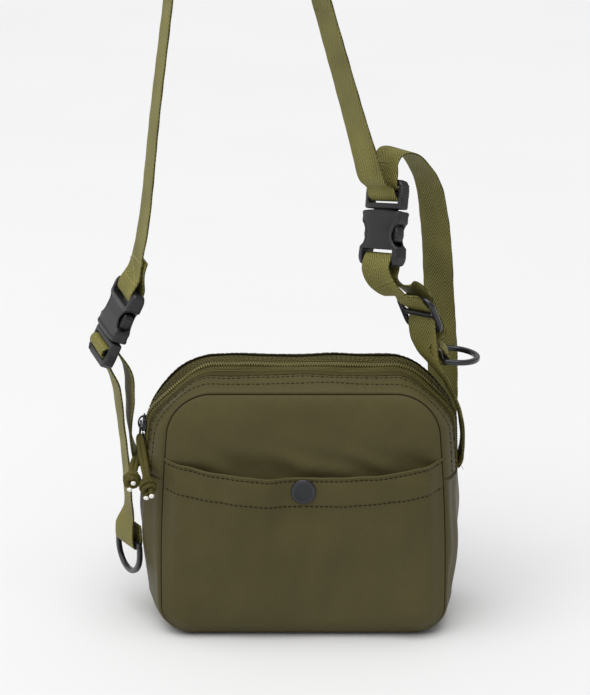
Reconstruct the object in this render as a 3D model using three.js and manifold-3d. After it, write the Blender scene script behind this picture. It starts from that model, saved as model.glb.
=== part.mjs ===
// Crossbody purse: a boxy nylon bag with a top zip, a snapped front pocket and a webbing strap
// that joins the bag through two side-release buckles. Millimetres, +Z up, front faces -Y.
import * as THREE from 'three';
import { mergeVertices } from 'three/addons/utils/BufferGeometryUtils.js';
import Module from 'manifold-3d';

const wasm = await Module();
wasm.setup();

// ---- driving dimensions ----
const SEAM_Y = 36;            // front and back panel seams stand at -SEAM_Y and +SEAM_Y
const PANEL_DOME = 6;         // how far a panel swells past its seam
const DOME_REACH = 8;         // distance from the seam over which the swell builds up
const SIDE_CROWN = 12;        // how far the side gusset swells past the seams
const CLOTH = 1.2;            // fabric thickness with its lining
const GAP = 0.4;              // clearance between sewn pieces
const LOW_CORNER = { x: 72, z: 20, r: 18 };
const TOP_CORNER = { x: 57, z: 135, r: 28 };
const ZIP_END_Z = 106;        // height of the seam where the zip gusset meets the lower gusset
const ZIP_HALF = 2.1;         // half width of the closed coil
const TAPE_HALF = 18.5;       // half width of both zip tapes together
const WEB = { width: 25, thick: 1.4 };
const POCKET = { mouthSide: 120, mouthMid: 111.5, halfWidth: 86.5, foot: 5, clear: 1.8 };
const SNAP = { z: 103, capR: 7.8, socketR: 5.6, studR: 2.6, flangeR: 5 };
const BUCKLE = { half: 16.5, female: 35, male: 19, thick: 5.6 };
const PRONG = { tip: 20, shoulder: 13, outer: 13.8, arm: 13.2 };
const RING = { half: 15.3, deep: 21.4, wire: 3.4 };

const root = new THREE.Group();
const V = (x, y, z) => new THREE.Vector3(x, y, z);
const mix = (a, b, t) => a + (b - a) * t;
const smooth = (t) => { const s = Math.min(1, Math.max(0, t)); return s * s * (3 - 2 * s); };

function material(color, roughness, metalness = 0) {
  return new THREE.MeshStandardMaterial({ color, roughness, metalness });
}
const nylon = () => material(0x524c30, 0.55);
const webbing = () => material(0x736c3c, 0.8);
const plastic = () => material(0x37373a, 0.5);
const darkMetal = () => material(0x2d2d34, 0.35, 0.8);
const cordCloth = () => material(0x6b6540, 0.85);

function add(name, geometry, look, matrix) {
  const mesh = new THREE.Mesh(geometry, look);
  mesh.name = name;
  if (matrix) {
    mesh.applyMatrix4(matrix);
  }
  root.add(mesh);
  return mesh;
}

// ---- solids: joining and cutting ----
function solid(geometry) {
  const g = geometry.clone();
  g.deleteAttribute('normal');
  g.deleteAttribute('uv');
  const m = mergeVertices(g, 1e-4);
  const vertProperties = new Float32Array(m.attributes.position.array);
  return new wasm.Manifold(new wasm.Mesh({ numProp: 3, vertProperties, triVerts: new Uint32Array(m.index.array) }));
}
function geometryOf(manifold) {
  const mesh = manifold.getMesh();
  const g = new THREE.BufferGeometry();
  g.setAttribute('position', new THREE.BufferAttribute(new Float32Array(mesh.vertProperties), 3));
  g.setIndex(new THREE.BufferAttribute(new Uint32Array(mesh.triVerts), 1));
  return g;
}
function box(x0, x1, y0, y1, z0, z1) {
  const g = new THREE.BoxGeometry(x1 - x0, y1 - y0, z1 - z0);
  g.translate((x0 + x1) / 2, (y0 + y1) / 2, (z0 + z1) / 2);
  return solid(g);
}
function unite(list) {
  return list.reduce((a, b) => a.add(b));
}
// A plate whose outline lies in the XZ plane, between y0 and y1.
function plate(points, y0, y1) {
  const shape = new THREE.Shape(points.map(([x, z]) => new THREE.Vector2(x, z)));
  const g = new THREE.ExtrudeGeometry(shape, { depth: y1 - y0, bevelEnabled: false });
  g.rotateX(Math.PI / 2);
  g.translate(0, y1, 0);
  return solid(g);
}

// ---- closed skins from a grid of outer and inner points ----
function grid(rows, outer, inner, closed = false) {
  const cols = outer[0].length;
  const position = [];
  [outer, inner].forEach((side) => side.forEach((row) => row.forEach((p) => position.push(p.x, p.y, p.z))));
  const at = (s, i, j) => s * rows * cols + (i % rows) * cols + j;
  const index = [];
  const quad = (a, b, c, d) => index.push(a, b, c, a, c, d);
  const last = closed ? rows : rows - 1;
  for (let i = 0; i < last; i++) {
    for (let j = 0; j < cols - 1; j++) {
      quad(at(0, i, j), at(0, i + 1, j), at(0, i + 1, j + 1), at(0, i, j + 1));
      quad(at(1, i, j), at(1, i, j + 1), at(1, i + 1, j + 1), at(1, i + 1, j));
    }
    quad(at(0, i, 0), at(1, i, 0), at(1, i + 1, 0), at(0, i + 1, 0));
    quad(at(0, i, cols - 1), at(0, i + 1, cols - 1), at(1, i + 1, cols - 1), at(1, i, cols - 1));
  }
  if (!closed) {
    for (let j = 0; j < cols - 1; j++) {
      quad(at(0, 0, j), at(0, 0, j + 1), at(1, 0, j + 1), at(1, 0, j));
      const e = rows - 1;
      quad(at(0, e, j), at(1, e, j), at(1, e, j + 1), at(0, e, j + 1));
    }
  }
  const g = new THREE.BufferGeometry();
  g.setAttribute('position', new THREE.Float32BufferAttribute(position, 3));
  g.setIndex(index);
  return outward(g);
}
// Turns a closed skin inside out if its faces point in.
function outward(g) {
  const p = g.attributes.position;
  const i = g.index.array;
  let volume = 0;
  for (let k = 0; k < i.length; k += 3) {
    const [a, b, c] = [0, 1, 2].map((n) => V().fromBufferAttribute(p, i[k + n]));
    volume += a.dot(b.cross(c));
  }
  if (volume < 0) {
    for (let k = 0; k < i.length; k += 3) {
      const keep = i[k + 1];
      i[k + 1] = i[k + 2];
      i[k + 2] = keep;
    }
  }
  return g;
}

// ---- bag outline: the hull of four corner circles, walked clockwise from bottom centre ----
const CORNERS = [
  { x: LOW_CORNER.x, z: LOW_CORNER.z, r: LOW_CORNER.r },
  { x: TOP_CORNER.x, z: TOP_CORNER.z, r: TOP_CORNER.r },
  { x: -TOP_CORNER.x, z: TOP_CORNER.z, r: TOP_CORNER.r },
  { x: -LOW_CORNER.x, z: LOW_CORNER.z, r: LOW_CORNER.r },
];
const SIDE_TILT = (() => {
  const dx = TOP_CORNER.x - LOW_CORNER.x;
  const dz = TOP_CORNER.z - LOW_CORNER.z;
  const far = Math.hypot(dx, dz);
  return Math.asin((LOW_CORNER.r - TOP_CORNER.r) / far) + Math.atan2(-dx, dz);
})();
// Stations around the outline: each has a point on the seam and the outward normal there.
function stations(steps) {
  const turns = [
    [-Math.PI / 2, SIDE_TILT],
    [SIDE_TILT, Math.PI / 2],
    [Math.PI / 2, Math.PI - SIDE_TILT],
    [Math.PI - SIDE_TILT, Math.PI * 1.5],
  ];
  const corners = CORNERS.map((c, k) => {
    const [from, to] = turns[k];
    return Array.from({ length: steps + 1 }, (_, i) => {
      const a = mix(from, to, i / steps);
      return { x: c.x + c.r * Math.cos(a), z: c.z + c.r * Math.sin(a), nx: Math.cos(a), nz: Math.sin(a) };
    });
  });
  const out = [];
  corners.forEach((corner, k) => {
    out.push(...corner);
    const next = corners[(k + 1) % corners.length][0];
    const end = corner[corner.length - 1];
    const between = k === 1 || k === 3 ? 4 : 6;
    for (let i = 1; i < between; i++) {
      const t = i / between;
      out.push({ x: mix(end.x, next.x, t), z: mix(end.z, next.z, t), nx: end.nx, nz: end.nz });
    }
  });
  return out;
}
const RING_OF_STATIONS = stations(6);

function swell(station, y) {
  const edge = Math.min(1, Math.abs(y) / SEAM_Y);
  const round = Math.pow(1 - edge * edge, 0.7);
  const flat = smooth((1 - edge) / 0.16);
  const down = Math.max(0, -station.nz);
  const up = Math.max(0, station.nz);
  return mix(SIDE_CROWN * mix(1, 0.8, up) * round, 2 * flat, smooth(down * 1.6));
}
function onGusset(station, y, lift = 0) {
  const o = swell(station, y) + lift;
  return V(station.x + station.nx * o, y, station.z + station.nz * o);
}
function gussetStrip(list, ys, thick = CLOTH, lift = 0) {
  const outer = list.map((s) => ys.map((y) => onGusset(s, y, lift)));
  const inner = list.map((s) => ys.map((y) => onGusset(s, y, lift - thick)));
  return grid(list.length, outer, inner);
}
// Splits the outline at the height of the zip end seams.
function cutAt(z) {
  const [right, left] = [1, -1].map((side) => {
    const low = CORNERS[side > 0 ? 0 : 3];
    const top = CORNERS[side > 0 ? 1 : 2];
    const n = { nx: side * Math.cos(SIDE_TILT), nz: Math.sin(SIDE_TILT) };
    const a = { x: low.x + low.r * n.nx, z: low.z + low.r * n.nz };
    const b = { x: top.x + top.r * n.nx, z: top.z + top.r * n.nz };
    return { x: mix(a.x, b.x, (z - a.z) / (b.z - a.z)), z, ...n };
  });
  return { right, left };
}
const upper = cutAt(ZIP_END_Z + GAP / 2);
const lower = cutAt(ZIP_END_Z - GAP / 2);
const topRun = [upper.right, ...RING_OF_STATIONS.filter((s) => s.z > ZIP_END_Z + 1), upper.left];
const midway = RING_OF_STATIONS.length / 2;
const isLow = (s) => s.z < ZIP_END_Z - 1;
const lowRun = [lower.left, ...RING_OF_STATIONS.filter((s, i) => i > midway && isLow(s)),
  ...RING_OF_STATIONS.filter((s, i) => i < midway && isLow(s)), lower.right];

function insetOf(x, z) {
  return Math.min(...RING_OF_STATIONS.map((s) => (s.x - x) * s.nx + (s.z - z) * s.nz));
}
function dome(inset) {
  return PANEL_DOME * (1 - Math.exp(-Math.max(0, inset) / DOME_REACH));
}
// A swollen panel: rings of the outline drawn inward, closed by a flat middle.
function panel(side) {
  const insets = [0, 2.5, 6, 11, 17];
  const face = (deep) => insets.map((o) => RING_OF_STATIONS.map((s) =>
    V(s.x - s.nx * o, side * (SEAM_Y + dome(o) - deep), s.z - s.nz * o)));
  const rings = [face(0), face(CLOTH)];
  const count = RING_OF_STATIONS.length;
  const position = [];
  rings.forEach((f) => f.forEach((r) => r.forEach((p) => position.push(p.x, p.y, p.z))));
  const centres = [0, CLOTH].map((deep) => V(0, side * (SEAM_Y + PANEL_DOME - deep), 78));
  centres.forEach((p) => position.push(p.x, p.y, p.z));
  const at = (f, k, i) => f * insets.length * count + k * count + (i % count);
  const index = [];
  const lastRing = insets.length - 1;
  for (let i = 0; i < count; i++) {
    for (let k = 0; k < lastRing; k++) {
      index.push(at(0, k, i), at(0, k, i + 1), at(0, k + 1, i + 1), at(0, k, i), at(0, k + 1, i + 1), at(0, k + 1, i));
      index.push(at(1, k, i), at(1, k + 1, i + 1), at(1, k, i + 1), at(1, k, i), at(1, k + 1, i), at(1, k + 1, i + 1));
    }
    index.push(at(0, 0, i), at(1, 0, i + 1), at(0, 0, i + 1), at(0, 0, i), at(1, 0, i), at(1, 0, i + 1));
    index.push(at(0, lastRing, i), at(0, lastRing, i + 1), 2 * insets.length * count);
    index.push(at(1, lastRing, i), 2 * insets.length * count + 1, at(1, lastRing, i + 1));
  }
  const g = new THREE.BufferGeometry();
  g.setAttribute('position', new THREE.Float32BufferAttribute(position, 3));
  g.setIndex(index);
  return outward(g);
}

// ---- bag shell ----
const FRONT_YS = [-34.4, -31, -27.5, -23, -TAPE_HALF - GAP];
const mirrored = (ys) => ys.map((y) => -y).reverse();
add('front_panel', panel(-1), nylon());
add('back_panel', panel(1), nylon());
add('lower_gusset', gussetStrip(lowRun, [-34.4, -31, -24, -12, 0, 12, 24, 31, 34.4]), nylon());
add('zip_gusset_front', gussetStrip(topRun, FRONT_YS), nylon());
add('zip_gusset_back', gussetStrip(topRun, mirrored(FRONT_YS)), nylon());
const TAPE_YS = [-TAPE_HALF, -13, -8, -ZIP_HALF - 0.3];
add('zip_tape_front', gussetStrip(topRun, TAPE_YS, 0.8, -0.2), nylon());
add('zip_tape_back', gussetStrip(topRun, mirrored(TAPE_YS), 0.8, -0.2), nylon());
add('zip_coil', gussetStrip(topRun, [-ZIP_HALF, 0, ZIP_HALF], 1.6, 0.4), material(0x8a8250, 0.6));

// The lining hangs inside the shell and opens along the zip.
function lining() {
  const block = (inset, half) => plate(
    RING_OF_STATIONS.map((s) => [s.x - s.nx * inset, s.z - s.nz * inset]), -half, half);
  const tub = block(3, 33).subtract(block(3.8, 32.2));
  return tub.subtract(box(-50, 50, -7, 7, 140, 180));
}
add('lining', geometryOf(lining()), material(0x4a4530, 0.7));

// ---- front pocket with its snap ----
function mouthHeight(x) {
  const t = Math.abs(x) / POCKET.halfWidth;
  return mix(POCKET.mouthMid, POCKET.mouthSide, Math.pow(t, 1.6));
}
function pocketStand(x, z) {
  const across = 1 - Math.pow(x / POCKET.halfWidth, 4);
  const rise = smooth((z - POCKET.foot) / 60);
  const held = 1 - 0.42 * Math.exp(-((x / 17) ** 4) - (((z - SNAP.z) / 24) ** 4));
  return POCKET.clear + 5.8 * across * rise * held;
}
function pocketEdge(z) {
  const facing = RING_OF_STATIONS.filter((s) => s.nx > 0.1);
  const least = Math.min(...facing.map((s) => s.x + ((s.z - z) * s.nz) / s.nx));
  return Math.min(POCKET.halfWidth + 1.5, least) - 1.5;
}
function pocketPoint(u, v, deep) {
  const z0 = mix(POCKET.foot, mouthHeight(u * POCKET.halfWidth), v);
  const x = u * pocketEdge(z0);
  const z = mix(POCKET.foot, mouthHeight(x), v);
  return V(x, -(SEAM_Y + dome(insetOf(x, z)) + pocketStand(x, z) + CLOTH - deep), z);
}
function pocketPanel() {
  const half = [0.1, 0.2, 0.35, 0.55, 0.75, 0.9, 0.97, 1];
  const rows = [...half.map((u) => -u).reverse(), 0, ...half];
  const cols = [0, 0.04, 0.1, 0.18, 0.35, 0.55, 0.72, 0.84, 0.92, 1];
  const face = (deep) => rows.map((u) => cols.map((v) => pocketPoint(u, v, deep)));
  return grid(rows.length, face(0), face(CLOTH));
}
add('pocket_panel', pocketPanel(), nylon());

const pocketFront = pocketPoint(0, (SNAP.z - POCKET.foot) / (POCKET.mouthMid - POCKET.foot), 0).y;
const panelFront = -(SEAM_Y + dome(insetOf(0, SNAP.z)));
// A turned piece about the snap's axis, its profile given as [radius, distance along +Y].
function turned(profile, y, z) {
  const g = new THREE.LatheGeometry(profile.map(([r, d]) => new THREE.Vector2(r, d)), 24);
  g.translate(0, y, 0);
  const m = mergeVertices(stripped(g), 1e-4);
  m.translate(0, 0, z);
  return outward(m);
}
function stripped(g) {
  const c = g.clone();
  c.deleteAttribute('normal');
  c.deleteAttribute('uv');
  return c;
}
const capProfile = [[0, -1.2], [4.5, -1.5], [6.6, -1.9], [SNAP.capR, -1.2], [SNAP.capR, -0.4], [0, -0.4]];
add('snap_cap', turned(capProfile, pocketFront, SNAP.z), material(0x3e3e44, 0.4, 0.7));
const socketY = pocketFront + CLOTH + 0.4;
const socketProfile = [[0, 0], [SNAP.socketR, 0], [SNAP.socketR, 1], [SNAP.studR + 0.6, 1.4], [SNAP.studR + 0.6, 0.8], [0, 0.8]];
add('snap_socket', turned(socketProfile, socketY, SNAP.z), darkMetal());
const studTop = socketY + 1.1 - panelFront;
const studProfile = [[0, studTop], [SNAP.studR - 0.4, studTop], [SNAP.studR, studTop + 0.6],
  [SNAP.studR - 0.5, -1], [SNAP.flangeR, -0.8], [SNAP.flangeR, -0.4], [0, -0.4]];
add('snap_stud', turned(studProfile, panelFront, SNAP.z), darkMetal());
add('snap_stud_post', turned([[0, 0], [SNAP.flangeR, 0], [SNAP.flangeR, 0.5], [2.4, 1], [0, 1]],
  panelFront + CLOTH + 0.4, SNAP.z), darkMetal());

// ---- webbing: a flat ribbon swept along a curve with a turning width direction ----
function ribbon(stops, steps, width = WEB.width, thick = WEB.thick) {
  const curve = new THREE.CatmullRomCurve3(stops.map((s) => s.at), false, 'centripetal');
  const outer = [];
  const inner = [];
  for (let i = 0; i <= steps; i++) {
    const t = i / steps;
    const p = curve.getPoint(t);
    const along = curve.getTangent(t).normalize();
    const f = t * (stops.length - 1);
    const k = Math.min(stops.length - 2, Math.floor(f));
    const w = stops[k].across.clone().lerp(stops[k + 1].across, f - k);
    w.addScaledVector(along, -w.dot(along)).normalize();
    const n = w.clone().cross(along).normalize();
    const side = (s, m) => p.clone().addScaledVector(w, (s * width) / 2).addScaledVector(n, (m * thick) / 2);
    outer.push([side(-1, 1), side(1, 1)]);
    inner.push([side(-1, -1), side(1, -1)]);
  }
  return grid(steps + 1, outer, inner);
}

// A buckle's own frame: X across the webbing, Y out of the worn face, Z from male to female.
function frameAt(origin, axis, across) {
  const z = axis.clone().normalize();
  const x = across.clone().addScaledVector(z, -across.dot(z)).normalize();
  const y = z.clone().cross(x);
  return new THREE.Matrix4().makeBasis(x, y, z).setPosition(origin);
}
const LEFT_BUCKLE = frameAt(V(-121.8, 0, 191), V(0.42, 0, 0.907), V(-0.36, 0.91, 0.17));
const RIGHT_BUCKLE = frameAt(V(51.4, 0, 271.5), V(-0.085, -0.27, -0.96), V(0.66, -0.735, 0.15));
const inFrame = (m, x, y, z) => V(x, y, z).applyMatrix4(m);
const acrossOf = (m) => V().setFromMatrixColumn(m, 0);

function femaleBody() {
  const { half, female: len } = BUCKLE;
  const side = (s) => [[s * half, 0], [s * half, 6.5], [s * (half - 1), 9], [s * (half - 1.6), 15],
    [s * (half - 1), 21], [s * half, 24], [s * half, len - 2.5], [s * (half - 2.5), len]];
  const outline = [...side(1), ...side(-1).reverse()];
  const t = BUCKLE.thick;
  const shell = plate(outline, -t, t);
  const cavity = box(-13.5, 13.5, -3.8, 3.8, -1, 22.4);
  const windows = [1, -1].map((s) => box(Math.min(s * 9, s * 20), Math.max(s * 9, s * 20), -3.9, 3.9, 9.4, 22));
  const scoops = [1, -1].map((s) => {
    const g = new THREE.CylinderGeometry(6.4, 6.4, 20, 20);
    g.scale(0.55, 1, 1);
    g.translate(s * 17.2, 0, 15.4);
    return solid(g);
  });
  const slot = box(-13.3, 13.3, -8, 8, 24.6, 29.6);
  const thinFront = box(-13.3, 13.3, 2.7, 8, 24.6, 40);
  const thinBack = box(-13.3, 13.3, -8, -2.7, 24.6, 40);
  return geometryOf(shell.subtract(unite([cavity, ...windows, ...scoops, slot, thinFront, thinBack])));
}
function maleBody() {
  const { half, male: len } = BUCKLE;
  const s = half;
  const outline = [[s, -0.4], [s, -12], [s - 3.5, -17], [s - 9, -len], [9 - s, -len], [3.5 - s, -17], [-s, -12], [-s, -0.4]];
  const frame = plate(outline, -3.6, 3.6);
  const slotNear = box(-13.3, 13.3, -8, 8, -8, -4.2);
  const slotFar = box(-13.3, 13.3, -8, 8, -14.6, -11);
  const middle = unite([box(-13.3, 13.3, 1.6, 8, -11.5, -7.5), box(-13.3, 13.3, -8, -1.4, -11.5, -7.5)]);
  const endThin = unite([box(-13.3, 13.3, 2.6, 8, -22, -14), box(-13.3, 13.3, -8, -2.6, -22, -14)]);
  const body = frame.subtract(unite([slotNear, slotFar, middle, endThin]));
  const tongue = box(-2.8, 2.8, -2.4, 2.4, -1, 17);
  const rootBlock = box(-8.2, 8.2, -3, 3, -1, 1.4);
  return geometryOf(unite([body, tongue, rootBlock]));
}
// One sprung arm of the latch with its thumb pad, on the +X side of the tongue.
function prong(s) {
  const o = PRONG;
  const points = [[8.9, 0.2], [o.arm - 0.2, 0.2], [o.arm, 4], [o.arm - 0.4, o.shoulder - 0.6], [o.outer, o.shoulder],
    [o.outer, 15.5], [o.arm - 1, o.tip], [9.6, o.tip], [9.4, 10], [9.9, 4]];
  return plate(points.map(([x, z]) => [s * x, z]), -3, 3);
}
function buckle(side, m) {
  add(`${side}_buckle_female`, femaleBody(), plastic(), m);
  add(`${side}_buckle_male`, maleBody(), plastic(), m);
  add(`${side}_prong_a`, geometryOf(prong(1)), plastic(), m);
  add(`${side}_prong_b`, geometryOf(prong(-1)), plastic(), m);
}
buckle('left', LEFT_BUCKLE);
buckle('right', RIGHT_BUCKLE);

// ---- rings and the tri-glide ----
// A round wire following a closed or open run of points that lie in the XZ plane.
function wire(points, radius, sides, closed) {
  const curve = new THREE.CatmullRomCurve3(points.map(([x, z]) => V(x, 0, z)), closed, 'centripetal');
  const steps = points.length * 2;
  const position = [];
  const index = [];
  const count = closed ? steps : steps + 1;
  for (let i = 0; i < count; i++) {
    const p = curve.getPoint(i / steps);
    const along = curve.getTangent(i / steps);
    const n = V(along.z, 0, -along.x).normalize();
    for (let j = 0; j < sides; j++) {
      const a = (j / sides) * Math.PI * 2;
      position.push(p.x + n.x * Math.cos(a) * radius, Math.sin(a) * radius, p.z + n.z * Math.cos(a) * radius);
    }
  }
  const at = (i, j) => (i % count) * sides + (j % sides);
  for (let i = 0; i < (closed ? count : count - 1); i++) {
    for (let j = 0; j < sides; j++) {
      index.push(at(i, j), at(i + 1, j), at(i + 1, j + 1), at(i, j), at(i + 1, j + 1), at(i, j + 1));
    }
  }
  for (let j = 1; !closed && j < sides - 1; j++) {
    index.push(at(0, 0), at(0, j), at(0, j + 1));
    index.push(at(count - 1, 0), at(count - 1, j + 1), at(count - 1, j));
  }
  const g = new THREE.BufferGeometry();
  g.setAttribute('position', new THREE.Float32BufferAttribute(position, 3));
  g.setIndex(index);
  return outward(g);
}
function arc(cx, cz, r, from, to, count) {
  return Array.from({ length: count }, (_, i) => {
    const a = mix(from, to, i / (count - 1));
    return [cx + r * Math.cos(a), cz + r * Math.sin(a)];
  });
}
// A D-ring: its straight bar lies on the frame's X axis and the bow hangs towards -Z.
function dRing() {
  const { half, deep, wire: d } = RING;
  const bow = arc(0, half - deep, half, 0, -Math.PI, 11);
  const points = [[-half + 2, 0], [0, 0], [half - 2, 0], [half - 0.3, -1.4], ...bow, [0.3 - half, -1.4]];
  return wire(points, d / 2, 8, true);
}
const LEFT_RING = frameAt(V(-113, 0, 52), V(0, 0, 1), V(-0.5, 0.86, 0));
const RIGHT_RING = frameAt(V(89, 1, 177), V(-1, 0, 0.08), V(0, 1, 0));
const RIGHT_FOLD = frameAt(V(89, 1, 177), V(-0.62, 0, 0.78), V(0, 1, 0));
add('left_dring', dRing(), darkMetal(), LEFT_RING);
add('right_dring', dRing(), darkMetal(), RIGHT_RING);

const TRI_GLIDE = frameAt(V(73, -5, 206), V(-0.36, -0.2, 0.91), V(0.69, -0.7, -0.08));
function triGlide() {
  const outline = [...arc(9, 6, 7.5, 0, Math.PI / 2, 4), ...arc(-9, 6, 7.5, Math.PI / 2, Math.PI, 4),
    ...arc(-9, -6, 7.5, Math.PI, Math.PI * 1.5, 4), ...arc(9, -6, 7.5, Math.PI * 1.5, Math.PI * 2, 4)];
  const frame = plate(outline, -1.4, 1.4);
  const slots = unite([box(-13.2, 13.2, -3, 3, 1.6, 9.6), box(-13.2, 13.2, -3, 3, -9.6, -1.6)]);
  return geometryOf(frame.subtract(slots));
}
add('right_tri_glide', triGlide(), darkMetal(), TRI_GLIDE);

// ---- webbing routes ----
const stop = (at, across) => ({ at, across });
const local = (m, across, list) => list.map(([n, a]) => stop(inFrame(m, 0, n, a), across));
const world = (list) => list.map(([x, y, z, ax, ay, az = 0]) => stop(V(x, y, z), V(ax, ay, az)));
const leftAcross = acrossOf(LEFT_BUCKLE);
const rightAcross = acrossOf(RIGHT_BUCKLE).negate();
const loopRound = [[-3.1, 0.6], [-2.2, -2.2], [0, -3.1], [2.2, -2.2], [3.1, 0.6]];
const femaleLoop = loopRound.map(([n, a]) => [n * 1.2, a * 0.8 + 29.6]);

add('left_adjust_strap', ribbon([
  ...world([[-103.4, 0, 104.5, 0, 1], [-108, 0, 109.5, 0, 1], [-111, 0, 127, -0.15, 0.99],
    [-110, 0, 150, -0.28, 0.96], [-111.5, 1, 167, -0.3, 0.95]]),
  ...local(LEFT_BUCKLE, leftAcross, [[-7, -8.5], [-3.4, -6.3], [0, -5.9], [3.4, -6.3], [5.2, -7.6], [5.6, -9.6],
    [5.1, -11.5], [3.2, -12.6], [0, -12.9], [-3.4, -13.8], [-4.6, -18]]),
  ...world([[-119.5, 1, 158, -0.3, 0.95], [-116.5, 0, 133, -0.25, 0.97], [-114, 0, 106, -0.25, 0.97],
    [-112, 0, 82, -0.35, 0.93]]),
  ...local(LEFT_RING, acrossOf(LEFT_RING), [[2.7, 14], ...loopRound.slice().reverse(), [-2.6, 12]]),
], 84), webbing());

add('shoulder_strap', ribbon([
  ...local(LEFT_BUCKLE, leftAcross, [[3.1, 55], [1.9, 48], [-0.4, 42], [-3.2, 36.5], ...femaleLoop, [3.9, 35], [3, 42]]),
  ...world([[-104, 0, 240, -0.28, 0.95], [-99, 0, 265, -0.28, 0.96], [-91, 0, 333, -0.26, 0.97],
    [-82, 0, 401, -0.25, 0.97], [-76, 0, 450, -0.15, 1], [-70, 0, 470, -0.1, 1], [-57, 0, 485, 0, 1],
    [-39, 0, 490, 0, 1], [-21, 0, 485, 0, 1], [-9, 0, 470, -0.15, 1], [-3, 0, 450, -0.3, 0.95],
    [11, 0, 401, -0.49, 0.87], [28, 0, 341, -0.54, 0.84], [36.6, -1, 311, -0.6, 0.8],
    [42.8, -2.5, 290.5, -0.66, 0.75]]),
  ...local(RIGHT_BUCKLE, rightAcross, [[6.4, -12.6], [4.4, -8.6], [1.2, -6.3], [-1.4, -6.2], [-3.2, -8],
    [-3.2, -10.4], [-1.8, -12.2], [0.8, -13], [3.1, -13.9], [4.2, -17], [4.3, -21]]),
  ...world([[50.5, 6, 300, -0.64, 0.74, -0.1], [55, 10, 306.5, -0.6, 0.78], [64, 16, 305, -0.55, 0.8],
    [72, 22, 296, -0.6, 0.78], [79, 28, 282, -0.66, 0.75], [83, 33, 262, -0.7, 0.71], [86, 38, 236, -0.73, 0.68],
    [88, 42, 205, -0.75, 0.66], [91, 46, 168, -0.75, 0.66], [92, 49, 135, -0.75, 0.66], [91, 50, 106, -0.75, 0.66]]),
], 150), webbing());

const rightWide = acrossOf(TRI_GLIDE).negate();
add('right_adjust_strap', ribbon([
  ...world([[101.4, 0, 105.4, 0, 1], [101.8, 0, 109, 0, 1], [102, 0, 115, 0, 1], [102, 0, 122, -0.02, 1],
    [99.6, 0, 140, -0.08, 1], [91, -2, 159, -0.2, 0.96], [80.5, -5, 176, -0.42, 0.9]]),
  ...local(TRI_GLIDE, rightWide, [[-4.4, -17], [-2.9, -11], [-1.4, -7.4], [1.6, -3], [2.5, 0], [1.6, 3], [-1.4, 7.4],
    [-2.9, 11], [-4, 16]]),
  ...world([[55.5, -14.6, 220.4, -0.68, 0.72, -0.12], [47.6, -15.6, 226.5, -0.67, 0.73, -0.14]]),
  ...local(RIGHT_BUCKLE, rightAcross, [[4.8, 37], ...femaleLoop.slice().reverse(), [-3.9, 35.5], [-3.4, 42]]),
  ...local(TRI_GLIDE, rightWide, [[4.4, 15], [4.2, 8], [4.7, 0], [4.4, -9], [4.4, -15]]),
  ...local(RIGHT_FOLD, acrossOf(RIGHT_FOLD), [[2.8, 13], ...loopRound.slice().reverse(), [-2.8, 9]]),
], 110), webbing());

// ---- zip sliders, their pull rings and knotted cord pulls ----
function sliderFrame(z, side) {
  const s = cutAt(z)[side < 0 ? 'left' : 'right'];
  const p = onGusset(s, 0, 0.4);
  const up = V(-s.nz * side, 0, s.nx * side);
  return frameAt(p, up, V(0, -1, 0).multiplyScalar(side));
}
// A slider: top plate above the coil with a bridge that holds the ring; Y points out of the bag.
function sliderBody() {
  const outline = [[-4.2, -5], [4.2, -5], [4.8, 3], [3, 5.6], [-3, 5.6], [-4.8, 3]];
  const top = plate(outline, 0.6, 2);
  const bridge = plate([[-0.9, -4.8], [0.9, -4.8], [0.9, 4.8], [-0.9, 4.8]], 1.5, 5);
  const eye = new THREE.CylinderGeometry(2.9, 2.9, 8, 16);
  eye.rotateZ(Math.PI / 2);
  eye.scale(1, 0.66, 1.35);
  eye.translate(0, 2.1, 0);
  const cut = solid(eye).subtract(box(-5, 5, -3, 2, -6, 6));
  return geometryOf(top.add(bridge).subtract(cut));
}
const SLIDERS = { upper: sliderFrame(130.5, -1), lower: sliderFrame(117.6, -1) };
// Each pull's link hangs flat below its slider and the cord flops forward past the anchor webbing.
const LINK = { half: 4, long: 9, wire: 1, swept: 0.66 };
const PULLS = {
  upper: { knot: V(-97.5, -37.5, 107), span: 14 },
  lower: { knot: V(-106.5, -26, 106), span: 11 },
};
function link() {
  const { half, long, wire: d } = LINK;
  const low = arc(0, half - long, half, 0, -Math.PI, 5);
  return wire([[half - 1.4, 0], [half - 0.2, -0.8], ...low, [0.2 - half, -0.8], [1.4 - half, 0], [0, 0]], d / 2, 6, true);
}
Object.entries(SLIDERS).forEach(([name, m]) => {
  add(`zip_slider_${name}`, sliderBody(), darkMetal(), m);
  const eye = inFrame(m, 0, 2.95, 0);
  const hang = m.clone().setPosition(eye).multiply(new THREE.Matrix4().makeRotationY(LINK.swept));
  add(`pull_ring_${name}`, link(), darkMetal(), hang);
  const { knot, span } = PULLS[name];
  const cordTop = inFrame(hang, 0, 0, -LINK.long - 2);
  const run = knot.clone().sub(cordTop);
  const cordFrame = frameAt(cordTop, run.clone().negate(), V(0, 1, 0.3));
  add(`pull_cord_${name}`, pullCord(run.length(), span), cordCloth(), cordFrame);
});
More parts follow.
